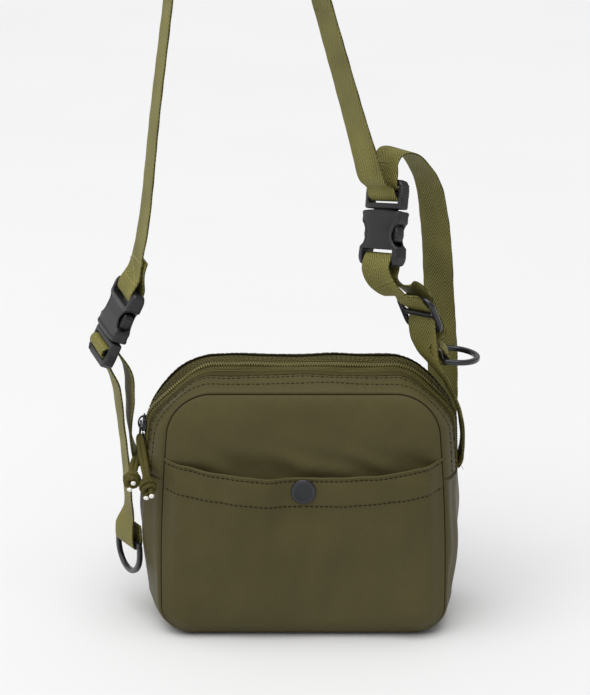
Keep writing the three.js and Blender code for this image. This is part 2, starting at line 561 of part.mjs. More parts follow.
// A doubled cord loop with a barrel knot: both strands share one body.
function pullCord(long, span) {
  const loop = [[-1.9, -long], [-1.9, -long * 0.5], [-1.9, -3], [-1.1, -0.6], [1.1, -0.6], [1.9, -3], [1.9, -long * 0.5],
    [1.9, -long]];
  const strands = solid(wire(loop, 1.2, 8, false));
  const profile = [[0, 0], [3.4, 0], [5, 1.6], [5.2, span * 0.5], [5, span - 3], [3, span - 1], [0, span - 1]];
  const g = new THREE.LatheGeometry(profile.map(([r, d]) => new THREE.Vector2(r, d)), 14);
  const knot = mergeVertices(stripped(g), 1e-4);
  knot.rotateX(-Math.PI / 2);
  knot.translate(0, 0, -long + 2);
  return geometryOf(strands.add(solid(outward(knot))));
}

export default root;
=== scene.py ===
"""Crossbody purse: the visual model. Shapes are worked out in millimetres in the part's frame, +Z up and
the front at -Y."""
import math
import bpy
import numpy as np
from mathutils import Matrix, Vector
from mathutils.geometry import delaunay_2d_cdt

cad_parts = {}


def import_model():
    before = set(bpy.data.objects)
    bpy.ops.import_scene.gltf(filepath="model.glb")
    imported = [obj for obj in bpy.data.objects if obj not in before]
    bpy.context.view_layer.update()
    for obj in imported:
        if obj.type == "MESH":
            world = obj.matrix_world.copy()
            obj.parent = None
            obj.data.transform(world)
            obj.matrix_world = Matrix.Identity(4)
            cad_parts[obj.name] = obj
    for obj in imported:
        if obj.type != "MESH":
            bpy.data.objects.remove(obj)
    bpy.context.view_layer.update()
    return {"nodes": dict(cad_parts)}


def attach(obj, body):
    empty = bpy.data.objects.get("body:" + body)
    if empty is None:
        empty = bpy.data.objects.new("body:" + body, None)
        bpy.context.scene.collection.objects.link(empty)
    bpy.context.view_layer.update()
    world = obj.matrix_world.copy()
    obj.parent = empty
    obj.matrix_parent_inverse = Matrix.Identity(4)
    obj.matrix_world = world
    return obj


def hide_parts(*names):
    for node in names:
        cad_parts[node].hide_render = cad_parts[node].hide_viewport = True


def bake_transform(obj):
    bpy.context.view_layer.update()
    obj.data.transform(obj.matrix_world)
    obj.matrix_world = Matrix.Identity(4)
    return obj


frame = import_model()
scene = bpy.context.scene

# ---- camera ----
camera = bpy.data.objects.new("camera", bpy.data.cameras.new("camera"))
camera.location = (-0.0052, -1.4059, 0.6185)
camera.rotation_euler = (math.radians(72.75), 0, 0)
camera.data.lens = 120.46
scene.collection.objects.link(camera)
scene.camera = camera

# ---- sizes, in millimetres ----
MM = 0.001                    # metres in a millimetre
SEAM_Y = 36                   # the panel seams stand at -SEAM_Y and +SEAM_Y
PANEL_DOME, DOME_REACH = 6, 8
CROWN_LEFT, CROWN_RIGHT, CROWN_TOP = 14.2, 11, 7.8
SIDE_BOW = 0.027              # how far the sides lean out, as a share of the width
LOW_CORNER = (72, 20, 18)     # centre x, z and radius of the seam's rounded corners
TOP_CORNER = (57, 135, 28)
ZIP_END_Z = 106
TAPE_EDGE = 18.5
STITCH_YS = (20.6, 27.8)
WEB_HALF, WEB_THICK = 12.5, 1.4
SELVEDGE = 12.3               # where threads leave the webbing's edge
SEWN = 0.78                   # height of stitches off the webbing's middle
MOUTH_SIDE, MOUTH_MID, POCKET_HALF = 120, 111.5, 86.5
HEM_HALF = 85.4
HEM_ROWS = ((2.0, 85.5), (18.6, 86.5))  # each stitch row's drop below the mouth, and its reach
SNAP_Z, SNAP_FRONT_Y, STUD_Y = 103, -48.36, -42.0
SKIN, STRIP_SKIN = 0.9, 0.5   # cloth thicknesses of the bag and of the zip's strips
ROLL = 0.8                    # radius of the cloth where it turns into a seam
ROLL_TURN = math.radians(76)  # how far round it turns before it joins the panel
FACES = ((-1, "front"), (1, "back"))
BAG_MIDDLE = (0, 0, 80)


def mix(a, b, t):
    return a + (b - a) * t


def smooth(t):
    t = np.clip(t, 0, 1)
    return t * t * (3 - 2 * t)


def bell(v, middle, width):
    """A hump of height 1 at middle, fading over about width."""
    return np.exp(-((v - middle) / width) ** 2)


def unit(v):
    v = np.asarray(v, float)
    return v / np.maximum(np.linalg.norm(v, axis=-1, keepdims=True), 1e-9)


def waves(p, seed, length):
    """Smooth noise from about -1 to 1 at points in millimetres, with features about length long."""
    rng = np.random.default_rng(seed)
    total = 0
    for _ in range(7):
        way = unit(rng.normal(size=3))
        total = total + np.sin(p @ way * rng.uniform(0.6, 1.5) * 2 * np.pi / length + rng.uniform(0, 6.28))
    return total / 3.6


def run_length(path):
    """Distance along a line of points."""
    return np.concatenate([[0], np.cumsum(np.linalg.norm(np.diff(path, axis=0), axis=1))])


def resample(path, step, *others):
    """The line again with even steps, and other columns that go with it."""
    s = run_length(path)
    even = np.linspace(0, s[-1], max(2, int(round(s[-1] / step)) + 1))
    pick = lambda rows: np.stack([np.interp(even, s, rows[:, k]) for k in range(rows.shape[1])], axis=1)
    return [pick(path), *(pick(o) for o in others)]


# ---- frames ----
def frame_at(origin, axis, across):
    z = unit(axis)
    x = unit(np.array(across) - z * np.dot(across, z))
    m = np.eye(4)
    m[:3, 0], m[:3, 1], m[:3, 2], m[:3, 3] = x, np.cross(z, x), z, origin
    return m


def placed(m, points):
    return np.asarray(points, float) @ m[:3, :3].T + m[:3, 3]


LEFT_BUCKLE = frame_at((-121.8, 0, 191), (0.42, 0, 0.907), (-0.36, 0.91, 0.17))
RIGHT_BUCKLE = frame_at((51.4, 0, 271.5), (-0.085, -0.27, -0.96), (0.66, -0.735, 0.15))
LEFT_RING = frame_at((-113, 0, 52), (0, 0, 1), (-0.5, 0.86, 0))
RIGHT_RING = frame_at((89, 1, 177), (-1, 0, 0.08), (0, 1, 0))
RIGHT_FOLD = frame_at((89, 1, 177), (-0.62, 0, 0.78), (0, 1, 0))
TRI_GLIDE = frame_at((73, -5, 206), (-0.36, -0.2, 0.91), (0.69, -0.7, -0.08))


# ---- procedural finishes ----
def put(tree, target, value):
    """Feeds a socket from another socket, or sets its constant."""
    if isinstance(value, bpy.types.NodeSocket):
        tree.links.new(value, target)
    else:
        target.default_value = value


def node(tree, kind, inputs=None, **settings):
    n = tree.nodes.new("ShaderNode" + kind)
    for key, value in settings.items():
        setattr(n, key, value)
    for key, value in (inputs or {}).items():
        put(tree, n.inputs[key], value)
    return n


def calc(tree, operation, a, b=0.0):
    return node(tree, "Math", {0: a, 1: b}, operation=operation).outputs[0]


def linear(r, g, b):
    """A colour from 0-255 screen values."""
    rgb = [c / 255 / 12.92 if c < 10.3 else ((c / 255 + 0.055) / 1.055) ** 2.4 for c in (r, g, b)]
    return (*rgb, 1.0)


def scaled(colour, factor, lift=0.0):
    return (*(min(1.0, c * factor + lift) for c in colour[:3]), 1.0)


def finish(name, roughness, metallic=0.0, **sockets):
    m = bpy.data.materials.new(name)
    m.use_nodes = True
    shader = m.node_tree.nodes["Principled BSDF"]
    shader.inputs["Roughness"].default_value = roughness
    shader.inputs["Metallic"].default_value = metallic
    for key, value in sockets.items():
        shader.inputs[key.replace("_", " ")].default_value = value
    return m, m.node_tree, shader


def noise(tree, where, scale, detail=2.0, roughness=0.5):
    return node(tree, "TexNoise", {"Vector": where, "Scale": scale, "Detail": detail, "Roughness": roughness})


def ranged(tree, value, low, high):
    return node(tree, "MapRange", {"Value": value, "From Min": 0.25, "From Max": 0.75, "To Min": low,
                                   "To Max": high}).outputs["Result"]


def mixed(tree, factor, a, b):
    n = node(tree, "Mix", data_type="RGBA")
    put(tree, n.inputs["Factor"], factor)
    put(tree, n.inputs["A"], a)
    put(tree, n.inputs["B"], b)
    return n.outputs["Result"]


def bump(tree, height, distance, strength=1.0, below=None):
    n = node(tree, "Bump", {"Height": height, "Distance": distance, "Strength": strength})
    if below is not None:
        put(tree, n.inputs["Normal"], below)
    return n.outputs["Normal"]


CRUMPLE_DEPTH = 0.00132       # metres
LANE, CHEVRON, YARN = 0.0125, 0.0027, 0.00095  # the herringbone's lane, rib and yarn widths in metres
HERRING_SLOPE, SHADED_EDGE = 0.019, 0.0121


def cloth_finish(name, dark, light, roughness, weave=0.00045, depth=0.00002, sheen=0.25):
    """Woven cloth: a fine plain weave in the piece's own UV metres over soft crumples."""
    m, t, shader = finish(name, roughness, Sheen_Weight=sheen, Sheen_Roughness=0.45, Specular_IOR_Level=0.2,
                          IOR=1.3)
    shader.inputs["Sheen Tint"].default_value = light
    place = node(t, "TexCoord")
    split = node(t, "SeparateXYZ", {0: place.outputs["UV"]})
    turn = math.tau / weave
    warp = calc(t, "SINE", calc(t, "MULTIPLY", split.outputs[0], turn))
    weft = calc(t, "SINE", calc(t, "MULTIPLY", split.outputs[1], turn))
    grain = calc(t, "MULTIPLY", warp, weft)
    broad = noise(t, place.outputs["Object"], 14, 3)
    fine = noise(t, place.outputs["Object"], 900, 2)
    shade = calc(t, "ADD", ranged(t, broad.outputs[0], 0.2, 0.8),
                      calc(t, "MULTIPLY", calc(t, "SUBTRACT", fine.outputs[0], 0.5), 0.5))
    put(t, shader.inputs["Base Color"], mixed(t, shade, dark, light))
    put(t, shader.inputs["Roughness"], ranged(t, broad.outputs[0], roughness - 0.05, roughness + 0.06))
    soft = bump(t, noise(t, place.outputs["Object"], 42, 4).outputs[0], CRUMPLE_DEPTH)
    put(t, shader.inputs["Normal"], bump(t, grain, depth, 0.6, soft))
    return m


def webbing_finish(name, dark, light):
    """Herringbone webbing: chevrons across the width from UV metres, with painted shade on the rolled
    selvedges.
    """
    m, t, shader = finish(name, 0.6, Sheen_Weight=0.06, Sheen_Roughness=0.4, Specular_IOR_Level=0.22)
    shader.inputs["Sheen Tint"].default_value = light
    place = node(t, "TexCoord")
    split = node(t, "SeparateXYZ", {0: place.outputs["UV"]})
    lane = calc(t, "FRACT", calc(t, "DIVIDE", calc(t, "ADD", split.outputs[0], 8 * LANE), LANE))
    slope = calc(t, "MULTIPLY", calc(t, "ABSOLUTE", calc(t, "SUBTRACT", lane, 0.5)), HERRING_SLOPE)
    phase = calc(t, "MULTIPLY", calc(t, "ADD", split.outputs[1], slope), math.tau / CHEVRON)
    rib = calc(t, "SINE", phase)
    pick = calc(t, "SINE", calc(t, "MULTIPLY", split.outputs[0], math.tau / YARN))
    yarn = calc(t, "ADD", calc(t, "MULTIPLY", rib, 0.7), calc(t, "MULTIPLY", pick, 0.3))
    fuzz = noise(t, place.outputs["UV"], 1400, 3)
    patch = noise(t, place.outputs["Object"], 40, 3)
    # painted shade: the outer strip of the section, round the rolled selvedges, is mixed towards near-black
    edge = calc(t, "GREATER_THAN", calc(t, "ABSOLUTE", split.outputs[0]), SHADED_EDGE)
    shade = calc(t, "ADD", calc(t, "MULTIPLY", yarn, 0.5), ranged(t, patch.outputs[0], 0.35, 0.65))
    shade = calc(t, "ADD", shade, calc(t, "MULTIPLY", calc(t, "SUBTRACT", fuzz.outputs[0], 0.5), 0.8))
    colour = mixed(t, shade, dark, light)
    put(t, shader.inputs["Base Color"], mixed(t, calc(t, "MULTIPLY", edge, 0.75), colour, scaled(dark, 0.25)))
    rough = bump(t, fuzz.outputs[0], 0.00012, 0.5)
    put(t, shader.inputs["Normal"], bump(t, yarn, 0.00012, 0.8, rough))
    return m


def hard_finish(name, colour, roughness, metallic, grain, scuffs=0.0, **sockets):
    """Moulded plastic or coated metal with a fine grain and slight wear."""
    m, t, shader = finish(name, roughness, metallic, **sockets)
    place = node(t, "TexCoord")
    broad = noise(t, place.outputs["Object"], 120, 4, 0.6)
    fine = noise(t, place.outputs["Object"], 2600, 2)
    worn = scaled(colour, 1.35 + scuffs, 0.002)
    put(t, shader.inputs["Base Color"], mixed(t, ranged(t, broad.outputs[0], 0, 1), colour, worn))
    put(t, shader.inputs["Roughness"], ranged(t, broad.outputs[0], roughness - 0.06, roughness + 0.08))
    put(t, shader.inputs["Normal"], bump(t, fine.outputs[0], grain, 0.6))
    return m


NYLON = cloth_finish("nylon", linear(71, 65, 39), linear(85, 79, 51), 0.45, sheen=0.04)
LINING = cloth_finish("lining_cloth", linear(62, 58, 38), linear(74, 69, 46), 0.6)
TAPE = cloth_finish("zip_tape", linear(52, 48, 25), linear(82, 76, 42), 0.7, 0.0011, 0.00008, 0.15)
COIL = hard_finish("zip_coil", linear(112, 105, 56), 0.4, 0, 0.00001)
# near-black cloth that is painted shade: under the zip's teeth, in the seam grooves and along the tape's
# folds
SHADE_CLOTH = cloth_finish("painted_shade_cloth", linear(26, 24, 12), linear(38, 35, 20), 0.8, sheen=0)
WEB = webbing_finish("webbing", linear(54, 50, 18), linear(148, 142, 76))
PLASTIC = hard_finish("black_plastic", linear(23, 23, 25), 0.38, 0, 0.00002)
METAL = hard_finish("dark_metal", linear(26, 27, 32), 0.3, 0.35, 0.00001, 0.2, Coat_Weight=0.4,
                    Coat_Roughness=0.2)
GUNMETAL = hard_finish("gunmetal", linear(30, 31, 35), 0.42, 0.3, 0.00002, 0.1)
SNAP_RIM = hard_finish("gunmetal_rim", linear(44, 44, 49), 0.35, 0.4, 0.00001)
CORD = cloth_finish("pull_cord", linear(40, 36, 16), linear(104, 97, 52), 0.75, 0.0008, 0.00006)
CORE = cloth_finish("cord_core", linear(228, 226, 220), linear(246, 245, 240), 0.6)
THREAD = cloth_finish("thread", linear(34, 31, 16), linear(52, 48, 26), 0.6, 0.0007, 0.00004)
PALE_THREAD = cloth_finish("pale_thread", linear(140, 134, 84), linear(172, 165, 108), 0.6, 0.0007, 0.00004)


# ---- meshes ----
def normals_of(verts, faces):
    corner = verts[faces]
    across = corner[:, 2] - corner[:, 0]
    other = (corner[:, 3] - corner[:, 1]) if faces.shape[1] == 4 else (corner[:, 0] - corner[:, 1])
    face = np.cross(across, other)
    total = np.zeros_like(verts)
    for k in range(faces.shape[1]):
        np.add.at(total, faces[:, k], face)
    return unit(total)


def thickened(verts, faces, thick, uv):
    """A closed skin: the surface, a copy of it thick below, and walls round its open edges."""
    n = len(verts)
    inner = verts - normals_of(verts, faces) * thick
    k = faces.shape[1]
    edges = np.concatenate([faces[:, [i, (i + 1) % k]] for i in range(k)])
    seen = set(map(tuple, edges))
    rim = np.array([(a, b) for a, b in edges if (b, a) not in seen], int).reshape(-1, 2)
    walls = np.stack([rim[:, 1], rim[:, 0], rim[:, 0] + n, rim[:, 1] + n], axis=1)
    return (np.concatenate([verts, inner]), [faces, faces[:, ::-1] + n, walls], np.concatenate([uv, uv]))


def lattice(rows, cols, closed_rows=False, closed_cols=False):
    """Quads over a rows by cols lattice of points."""
    i = np.arange(rows if closed_rows else rows - 1)[:, None]
    j = np.arange(cols if closed_cols else cols - 1)[None, :]
    a = i * cols + j
    b = ((i + 1) % rows) * cols + j
    c = ((i + 1) % rows) * cols + (j + 1) % cols
    d = i * cols + (j + 1) % cols
    return np.stack([a, b, c, d], axis=-1).reshape(-1, 4)


def piece(name, verts, face_groups, look, uv=None, sharp=50, looks=None, face_looks=None):
    """A mesh object from points in millimetres."""
    mesh = bpy.data.meshes.new(name)
    groups = face_groups if isinstance(face_groups, list) else [face_groups]
    faces = [tuple(f) for g in groups for f in np.asarray(g).tolist()]
    mesh.from_pydata((np.asarray(verts) * MM).tolist(), [], faces)
    mesh.shade_smooth()
    if sharp:
        mesh.set_sharp_from_angle(angle=math.radians(sharp))
    if uv is not None:
        layer = mesh.uv_layers.new(name="UVMap")
        index = np.zeros(len(mesh.loops), int)
        mesh.loops.foreach_get("vertex_index", index)
        layer.data.foreach_set("uv", (np.asarray(uv)[index] * MM).astype(np.float32).ravel())
    obj = bpy.data.objects.new(name, mesh)
    for material in (looks or [look]):
        mesh.materials.append(material)
    if face_looks is not None:
        mesh.polygons.foreach_set("material_index", np.asarray(face_looks, np.int32))
    scene.collection.objects.link(obj)
    return obj


def riding(obj, body, slot, *nodes):
    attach(obj, body)
    if nodes:
        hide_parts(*nodes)
    return obj


def blending(obj, a, b, start, end, slot, *nodes):
    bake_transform(obj)
    if nodes:
        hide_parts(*nodes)
    return obj


def grid_uv(points):
    """UV in millimetres from the lengths along a lattice's middle row and column."""
    rows, cols = points.shape[:2]
    u = run_length(points[:, cols // 2])
    v = run_length(points[rows // 2])
    return np.stack(np.meshgrid(u, v, indexing="ij"), axis=-1).reshape(-1, 2)


def skin(name, points, thick, look):
    """A cloth piece from a lattice of outer points, facing away from the bag's middle."""
    rows, cols = points.shape[:2]
    verts = points.reshape(-1, 3)
    faces = lattice(rows, cols)
    if np.sum(normals_of(verts, faces) * (verts - np.array(BAG_MIDDLE))) < 0:
        faces = faces[:, ::-1]
    verts, groups, uv = thickened(verts, faces, thick, grid_uv(points))
    return piece(name, verts, groups, look, uv)


def carried(path):
    """Two side directions carried along a line without twist."""
    along = unit(np.gradient(path, axis=0))
    side = unit(np.cross(along[0], (0, 0, 1) if abs(along[0][2]) < 0.95 else (1, 0, 0)))
    sides = []
    for a in along:
        side = unit(side - a * np.dot(side, a))
        sides.append(side)
    sides = np.array(sides)
    return sides, np.cross(sides, along)


def swept(path, side, up, profile, closed=False, scale=None):
    """A section carried along a line: a closed loop of (side, up) points, one for all rows or one each."""
    profile = np.asarray(profile, float)
    if profile.ndim == 2:
        profile = np.broadcast_to(profile, (len(path), *profile.shape))
    if scale is not None:
        profile = profile * np.asarray(scale)[:, None, None]
    verts = path[:, None] + side[:, None] * profile[..., :1] + up[:, None] * profile[..., 1:]
    count = profile.shape[1]
    groups = [lattice(len(path), count, closed, True)]
    if not closed:
        groups += [np.arange(count)[::-1][None], (np.arange(count) + (len(path) - 1) * count)[None]]
    uv = np.stack(np.broadcast_arrays(profile[..., 0], run_length(path)[:, None]), axis=-1)
    return verts.reshape(-1, 3), groups, uv.reshape(-1, 2)


def joined(parts):
    """Several (points, face groups, uv) as one."""
    verts, groups, uvs, base = [], [], [], 0
    for v, g, uv in parts:
        verts.append(v)
        uvs.append(uv)
        groups += [np.asarray(f) + base for f in g]
        base += len(v)
    return np.concatenate(verts), groups, np.concatenate(uvs)


def sewn(name, parts, look, sharp=50):
    """One piece from several (points, face groups, uv)."""
    verts, groups, uv = joined(parts)
    return piece(name, verts, groups, look, uv, sharp)


def circle(radius, count):
    a = np.linspace(0, 2 * np.pi, count, endpoint=False)
    return np.stack([np.cos(a) * radius, np.sin(a) * radius], axis=1)


def ball(segments=8, rings=5):
    """A unit ball, its poles on the first axis."""
    verts = [(1, 0, 0)]
    for r in range(1, rings):
        a = math.pi * r / rings
        for s in range(segments):
            b = math.tau * s / segments
            verts.append((math.cos(a), math.sin(a) * math.cos(b), math.sin(a) * math.sin(b)))
    verts.append((-1, 0, 0))
    last = len(verts) - 1
    tris, quads = [], []
    for s in range(segments):
        t = (s + 1) % segments
        tris.append((0, 1 + s, 1 + t))
        tris.append((last, last - segments + t, last - segments + s))
        for r in range(rings - 2):
            a = 1 + r * segments
            quads.append((a + s, a + segments + s, a + segments + t, a + t))
    return np.array(verts, float), np.array(tris), np.array(quads)


def blobs(centres, first, second, third, squareness=1.0):
    """Many small rounded lumps, each stretched along three directions."""
    shape, tris, quads = ball()
    shape = np.sign(shape) * np.abs(shape) ** squareness
    verts = (centres[:, None] + first[:, None] * shape[None, :, :1] + second[:, None] * shape[None, :, 1:2]
             + third[:, None] * shape[None, :, 2:])
    base = (np.arange(len(centres)) * len(shape))[:, None, None]
    uv = np.broadcast_to(shape[None, :, :2] * 0.5, (len(centres), len(shape), 2))
    faces = [(tris[None] + base).reshape(-1, 3), (quads[None] + base).reshape(-1, 4)]
    return verts.reshape(-1, 3), faces, uv.reshape(-1, 2)


def stitches(path, up, pitch=3.1, fill=0.72, radius=0.47, lift=0.14):
    """Topstitching: short raised threads end to end along a line lying on cloth."""
    path, up = resample(path, pitch, up)
    middle = (path[1:] + path[:-1]) / 2
    up = unit(up[1:] + up[:-1])
    along = path[1:] - path[:-1]
    side = unit(np.cross(unit(along), up))
    slant = along * fill / 2 + side * 0.1
    return blobs(middle + up * lift, slant, side * radius, up * radius * 0.8, 0.85)


def surface(field, low, high, cell):
    """Quads where field(x, y, z), a distance in mm, is zero, by averaging the crossings in each cell."""
    axes = [np.arange(a - 2 * cell, b + 2.5 * cell, cell) for a, b in zip(low, high)]
    f = field(*np.meshgrid(*axes, indexing="ij"))
    f = np.where(f == 0, 1e-6, f)
    size = np.array(f.shape) - 1
    place, count = np.zeros((*size, 3)), np.zeros(size)

    def corner(offsets):
        return f[tuple(slice(o, o + n) for o, n in zip(offsets, size))]

    for axis in range(3):
        others = [k for k in range(3) if k != axis]
        for o1 in (0, 1):
            for o2 in (0, 1):
                start = [0, 0, 0]
                start[others[0]], start[others[1]] = o1, o2
                end = list(start)
                end[axis] = 1
                a, b = corner(start), corner(end)
                crossing = (a < 0) != (b < 0)
                where = np.where(crossing, a / np.where(crossing, a - b, 1), 0)
                place[..., axis] += where
                place[..., others[0]] += crossing * o1
                place[..., others[1]] += crossing * o2
                count += crossing
    active = count > 0
    ids = np.full(size, -1)
    ids[active] = np.arange(active.sum())
    index = np.argwhere(active)
    verts = (index + place[active] / count[active][:, None]) * cell + np.array([a[0] for a in axes])
    quads = []
    for axis in range(3):
        u, v = [(1, 2), (2, 0), (0, 1)][axis]
        a = np.take(f, range(f.shape[axis] - 1), axis)
        b = np.take(f, range(1, f.shape[axis]), axis)
        hit = np.argwhere((a < 0) != (b < 0))
        hit = hit[(hit[:, u] > 0) & (hit[:, v] > 0) & (hit[:, u] < size[u]) & (hit[:, v] < size[v])]
        steps = np.zeros((4, 3), int)
        steps[1, u] = steps[2, u] = -1
        steps[2, v] = steps[3, v] = -1
        ring = ids[tuple(np.moveaxis(hit[:, None] + steps[None], -1, 0))]
        inward = a[tuple(hit.T)] >= 0
        ring[inward] = ring[inward][:, ::-1]
        quads.append(ring)
    return verts, np.concatenate(quads)


def smax(a, b, k=0.6):
    """The larger of two distances with a rounded edge."""
    h = np.maximum(k - np.abs(a - b), 0) / k
    return np.maximum(a, b) + h * h * k / 4


def smin(a, b, k=0.6):
    return -smax(-a, -b, k)


def slab(v, low, high):
    return np.abs(v - (low + high) / 2) - (high - low) / 2


def block(x, y, z, bounds, k=0.6):
    x0, x1, y0, y1, z0, z1 = bounds
    return smax(smax(slab(x, x0, x1), slab(y, y0, y1), k), slab(z, z0, z1), k)


def moulded(name, field, low, high, cell, look, m):
    """A hard piece from its distance field, set in a frame."""
    verts, quads = surface(field, low, high, cell)
    return piece(name, placed(m, verts), quads, look, sharp=0)


ROUND = 72                    # faces round a turned piece


def turned(name, profile, y, look, looks=None, face_looks=None):
    """A turned piece of the snap, its profile given as (radius, distance along +Y)."""
    x, z = circle(1, ROUND).T
    rows = [np.stack([r * x, np.full(ROUND, y + d), SNAP_Z + r * z], axis=1) for r, d in profile]
    faces = lattice(len(profile), ROUND, False, True)
    return piece(name, np.concatenate(rows), faces, look, sharp=60, looks=looks, face_looks=face_looks)


# ---- the bag's outline and swells ----
def outline(step=1.6):
    """The seam line, clockwise from the bottom centre: rows of x, z and the outward normal."""
    (lx, lz, lr), (tx, tz, tr) = LOW_CORNER, TOP_CORNER
    tilt = math.asin((lr - tr) / math.hypot(tx - lx, tz - lz)) + math.atan2(lx - tx, tz - lz)
    right = []
    for (x, z, r), low, high in (((lx, lz, lr), -np.pi / 2, tilt), ((tx, tz, tr), tilt, np.pi / 2)):
        a = np.linspace(low, high, 40)
        right.append(np.stack([x + r * np.cos(a), z + r * np.sin(a), np.cos(a), np.sin(a)], axis=1))
    right = np.concatenate([[[0, lz - lr, 0, -1]], *right, [[0, tz + tr, 0, 1]]])
    whole = np.concatenate([right, right[::-1][1:] * [-1, 1, -1, 1]])
    points, normals = resample(whole[:, :2], step, whole[:, 2:])
    return np.concatenate([points, unit(normals)], axis=1)[:-1]


RIM = outline()
RIM_HALF = len(RIM) // 2
SIDE_NORMAL = RIM[np.argmin(np.abs(RIM[:RIM_HALF, 1] - 80))][2:]
BOW_FOOT, BOW_HEIGHT = 2, 158


def bowed(p):
    """The sides lean out a little at mid height."""
    p = np.array(p, float)
    p[..., 0] *= 1 + SIDE_BOW * np.sin(np.pi * np.clip((p[..., 2] - BOW_FOOT) / BOW_HEIGHT, 0, 1))
    return p


# The gusset's forms: how high each stands, the depth it sits at and its width.
CREASE = (1.7, 27, 4.5)       # drawn in beside each seam
BELLY = (0.9, 15, 8)          # fuller between the creases
BEHIND = (2.0, 18, 11)        # the top, behind the zip
REAR_CORNER = 1.6             # the left top corner, towards the back
UNDER_SWELL = 2


def swell(st, y):
    """How far the gusset stands out of the seam line at stations st and depths y."""
    z, across, down, up = st[:, 1:2], st[:, 2:3], np.maximum(0, -st[:, 3:]), np.maximum(0, st[:, 3:])
    edge = np.minimum(1, np.abs(y) / SEAM_Y)
    arch = (1 - edge ** np.where(y > 0, 3, 2)) ** 0.7
    flat = smooth((1 - edge) / 0.16)
    side = mix(CROWN_RIGHT, CROWN_LEFT, smooth(0.5 - across * 1.5))
    rear_corner = bell(across, -0.75, 0.42) * smooth(up * 2) * smooth((y - 6) / 14) * smooth((35 - y) / 8)
    fold = CREASE[0] * bell(np.abs(y), *CREASE[1:]) - BELLY[0] * bell(np.abs(y), *BELLY[1:])
    waist = smooth((z - 12) / 30) * smooth((112 - z) / 14) * (0.7 + 0.3 * np.sin(z * 0.06))
    slim = 1 - 0.42 * (2 * np.abs(across) * up) ** 1.5 - 0.5 * smooth((85 - z) / 80)
    behind = BEHIND[0] * bell(y, *BEHIND[1:]) * smooth(up * 1.6 - 0.3)
    full = mix(side, CROWN_TOP, smooth(up * 1.2)) * slim * arch
    full = full + behind + REAR_CORNER * rear_corner - fold * waist
    return mix(full, UNDER_SWELL * flat, smooth((down - 0.2) * 1.6))


def gusset(st, cols, row_lift=0.0, soft=1.0):
    """Points on the gusset. Each column is (y, the y its swell is taken at, share of the swell, lift)."""
    cols = np.array(cols, float)
    y, reference, share, lift = (cols[None, :, k] for k in range(4))
    out = mix(-ROLL, swell(st, reference), share) + lift + np.reshape(row_lift, (-1, 1))
    p = np.stack([st[:, :1] + st[:, 2:3] * out, np.broadcast_to(y, out.shape),
                  st[:, 1:2] + st[:, 3:] * out], axis=-1)
    n = np.stack([st[:, 2], np.zeros(len(st)), st[:, 3]], axis=-1)[:, None]
    calm = share * soft * smooth((SEAM_Y - np.abs(y)) / 9)
    rest = 1 - smooth(np.maximum(0, -st[:, 3:]) * 1.6)
    dent = (waves(p, 11, 60) * 1.4 + waves(p * [1, 2.2, 0.6], 12, 30) * 0.75) * calm * rest
    return bowed(p + n * dent[..., None])


def column(y, lift=0.0):
    return (y, y, 1, lift)


TURNS = np.linspace(0, 1, 7) * ROLL_TURN
ROLL_INSETS = ROLL + ROLL * (1 - np.cos(TURNS))
ROLL_END = ROLL + ROLL * (1 - math.cos(ROLL_TURN))
SEAM_ROLL = [(inset - SEAM_Y, ROLL_END - SEAM_Y, math.sin(a) / math.sin(ROLL_TURN), 0)
             for inset, a in zip(ROLL_INSETS, TURNS)]


def mirrored(cols):
    return [(-y, -r, share, lift) for y, r, share, lift in cols][::-1]


def split_at(z, gap):
    """Stations of the run above height z and of the run below it, with close rows near both cuts."""
    right, left = RIM[:RIM_HALF], RIM[RIM_HALF:]
    straight = right[(right[:, 1] > 25) & (right[:, 1] < 130)]

    def cut(offset, side):
        height = z + offset
        x = np.interp(height, straight[:, 1], straight[:, 0])
        return [side * x, height, side * SIDE_NORMAL[0], SIDE_NORMAL[1]]

    offsets = gap / 2 + np.array([0, 0.35, 0.8, 1.4, 2.2, 3.2])
    above = RIM[RIM[:, 1] > z + 5]
    below = [*left[left[:, 1] < z - 5], *right[right[:, 1] < z - 5]]
    top = [*(cut(d, 1) for d in offsets), *above, *(cut(d, -1) for d in offsets[::-1])]
    low = [*(cut(-d, -1) for d in offsets), *below, *(cut(-d, 1) for d in offsets[::-1])]
    return np.array(top), np.array(low)


TOP_RUN, LOW_RUN = split_at(ZIP_END_Z, 0.1)


def end_roll(st):
    """The cloth dips into the seam at both ends of a run."""
    return -1.3 * bell(st[:, 1], ZIP_END_Z, 0.75)


def groove(y):
    """The dip under the topstitching's rows."""
    return -0.34 * sum(bell(abs(y), s, 0.75) for s in STITCH_YS)


def dome(inset):
    return PANEL_DOME * (1 - np.exp(-np.maximum(0, inset) / DOME_REACH))


RISE = (ROLL + dome(ROLL_END)) / math.sin(ROLL_TURN)


def lip(inset):
    """How far a panel stands in front of the seam plane, rolling out of the seam groove first."""
    turn = np.arccos(np.clip(1 - (inset - ROLL) / ROLL, -1, 1))
    return np.where(inset < ROLL_END, -ROLL + RISE * np.sin(turn), dome(inset))


def inset_of(x, z):
    """Distance in from the seam line."""
    out = np.full(np.shape(x), 1e9)
    for sx, sz, nx, nz in RIM[::2]:
        out = np.minimum(out, (sx - x) * nx + (sz - z) * nz)
    return out


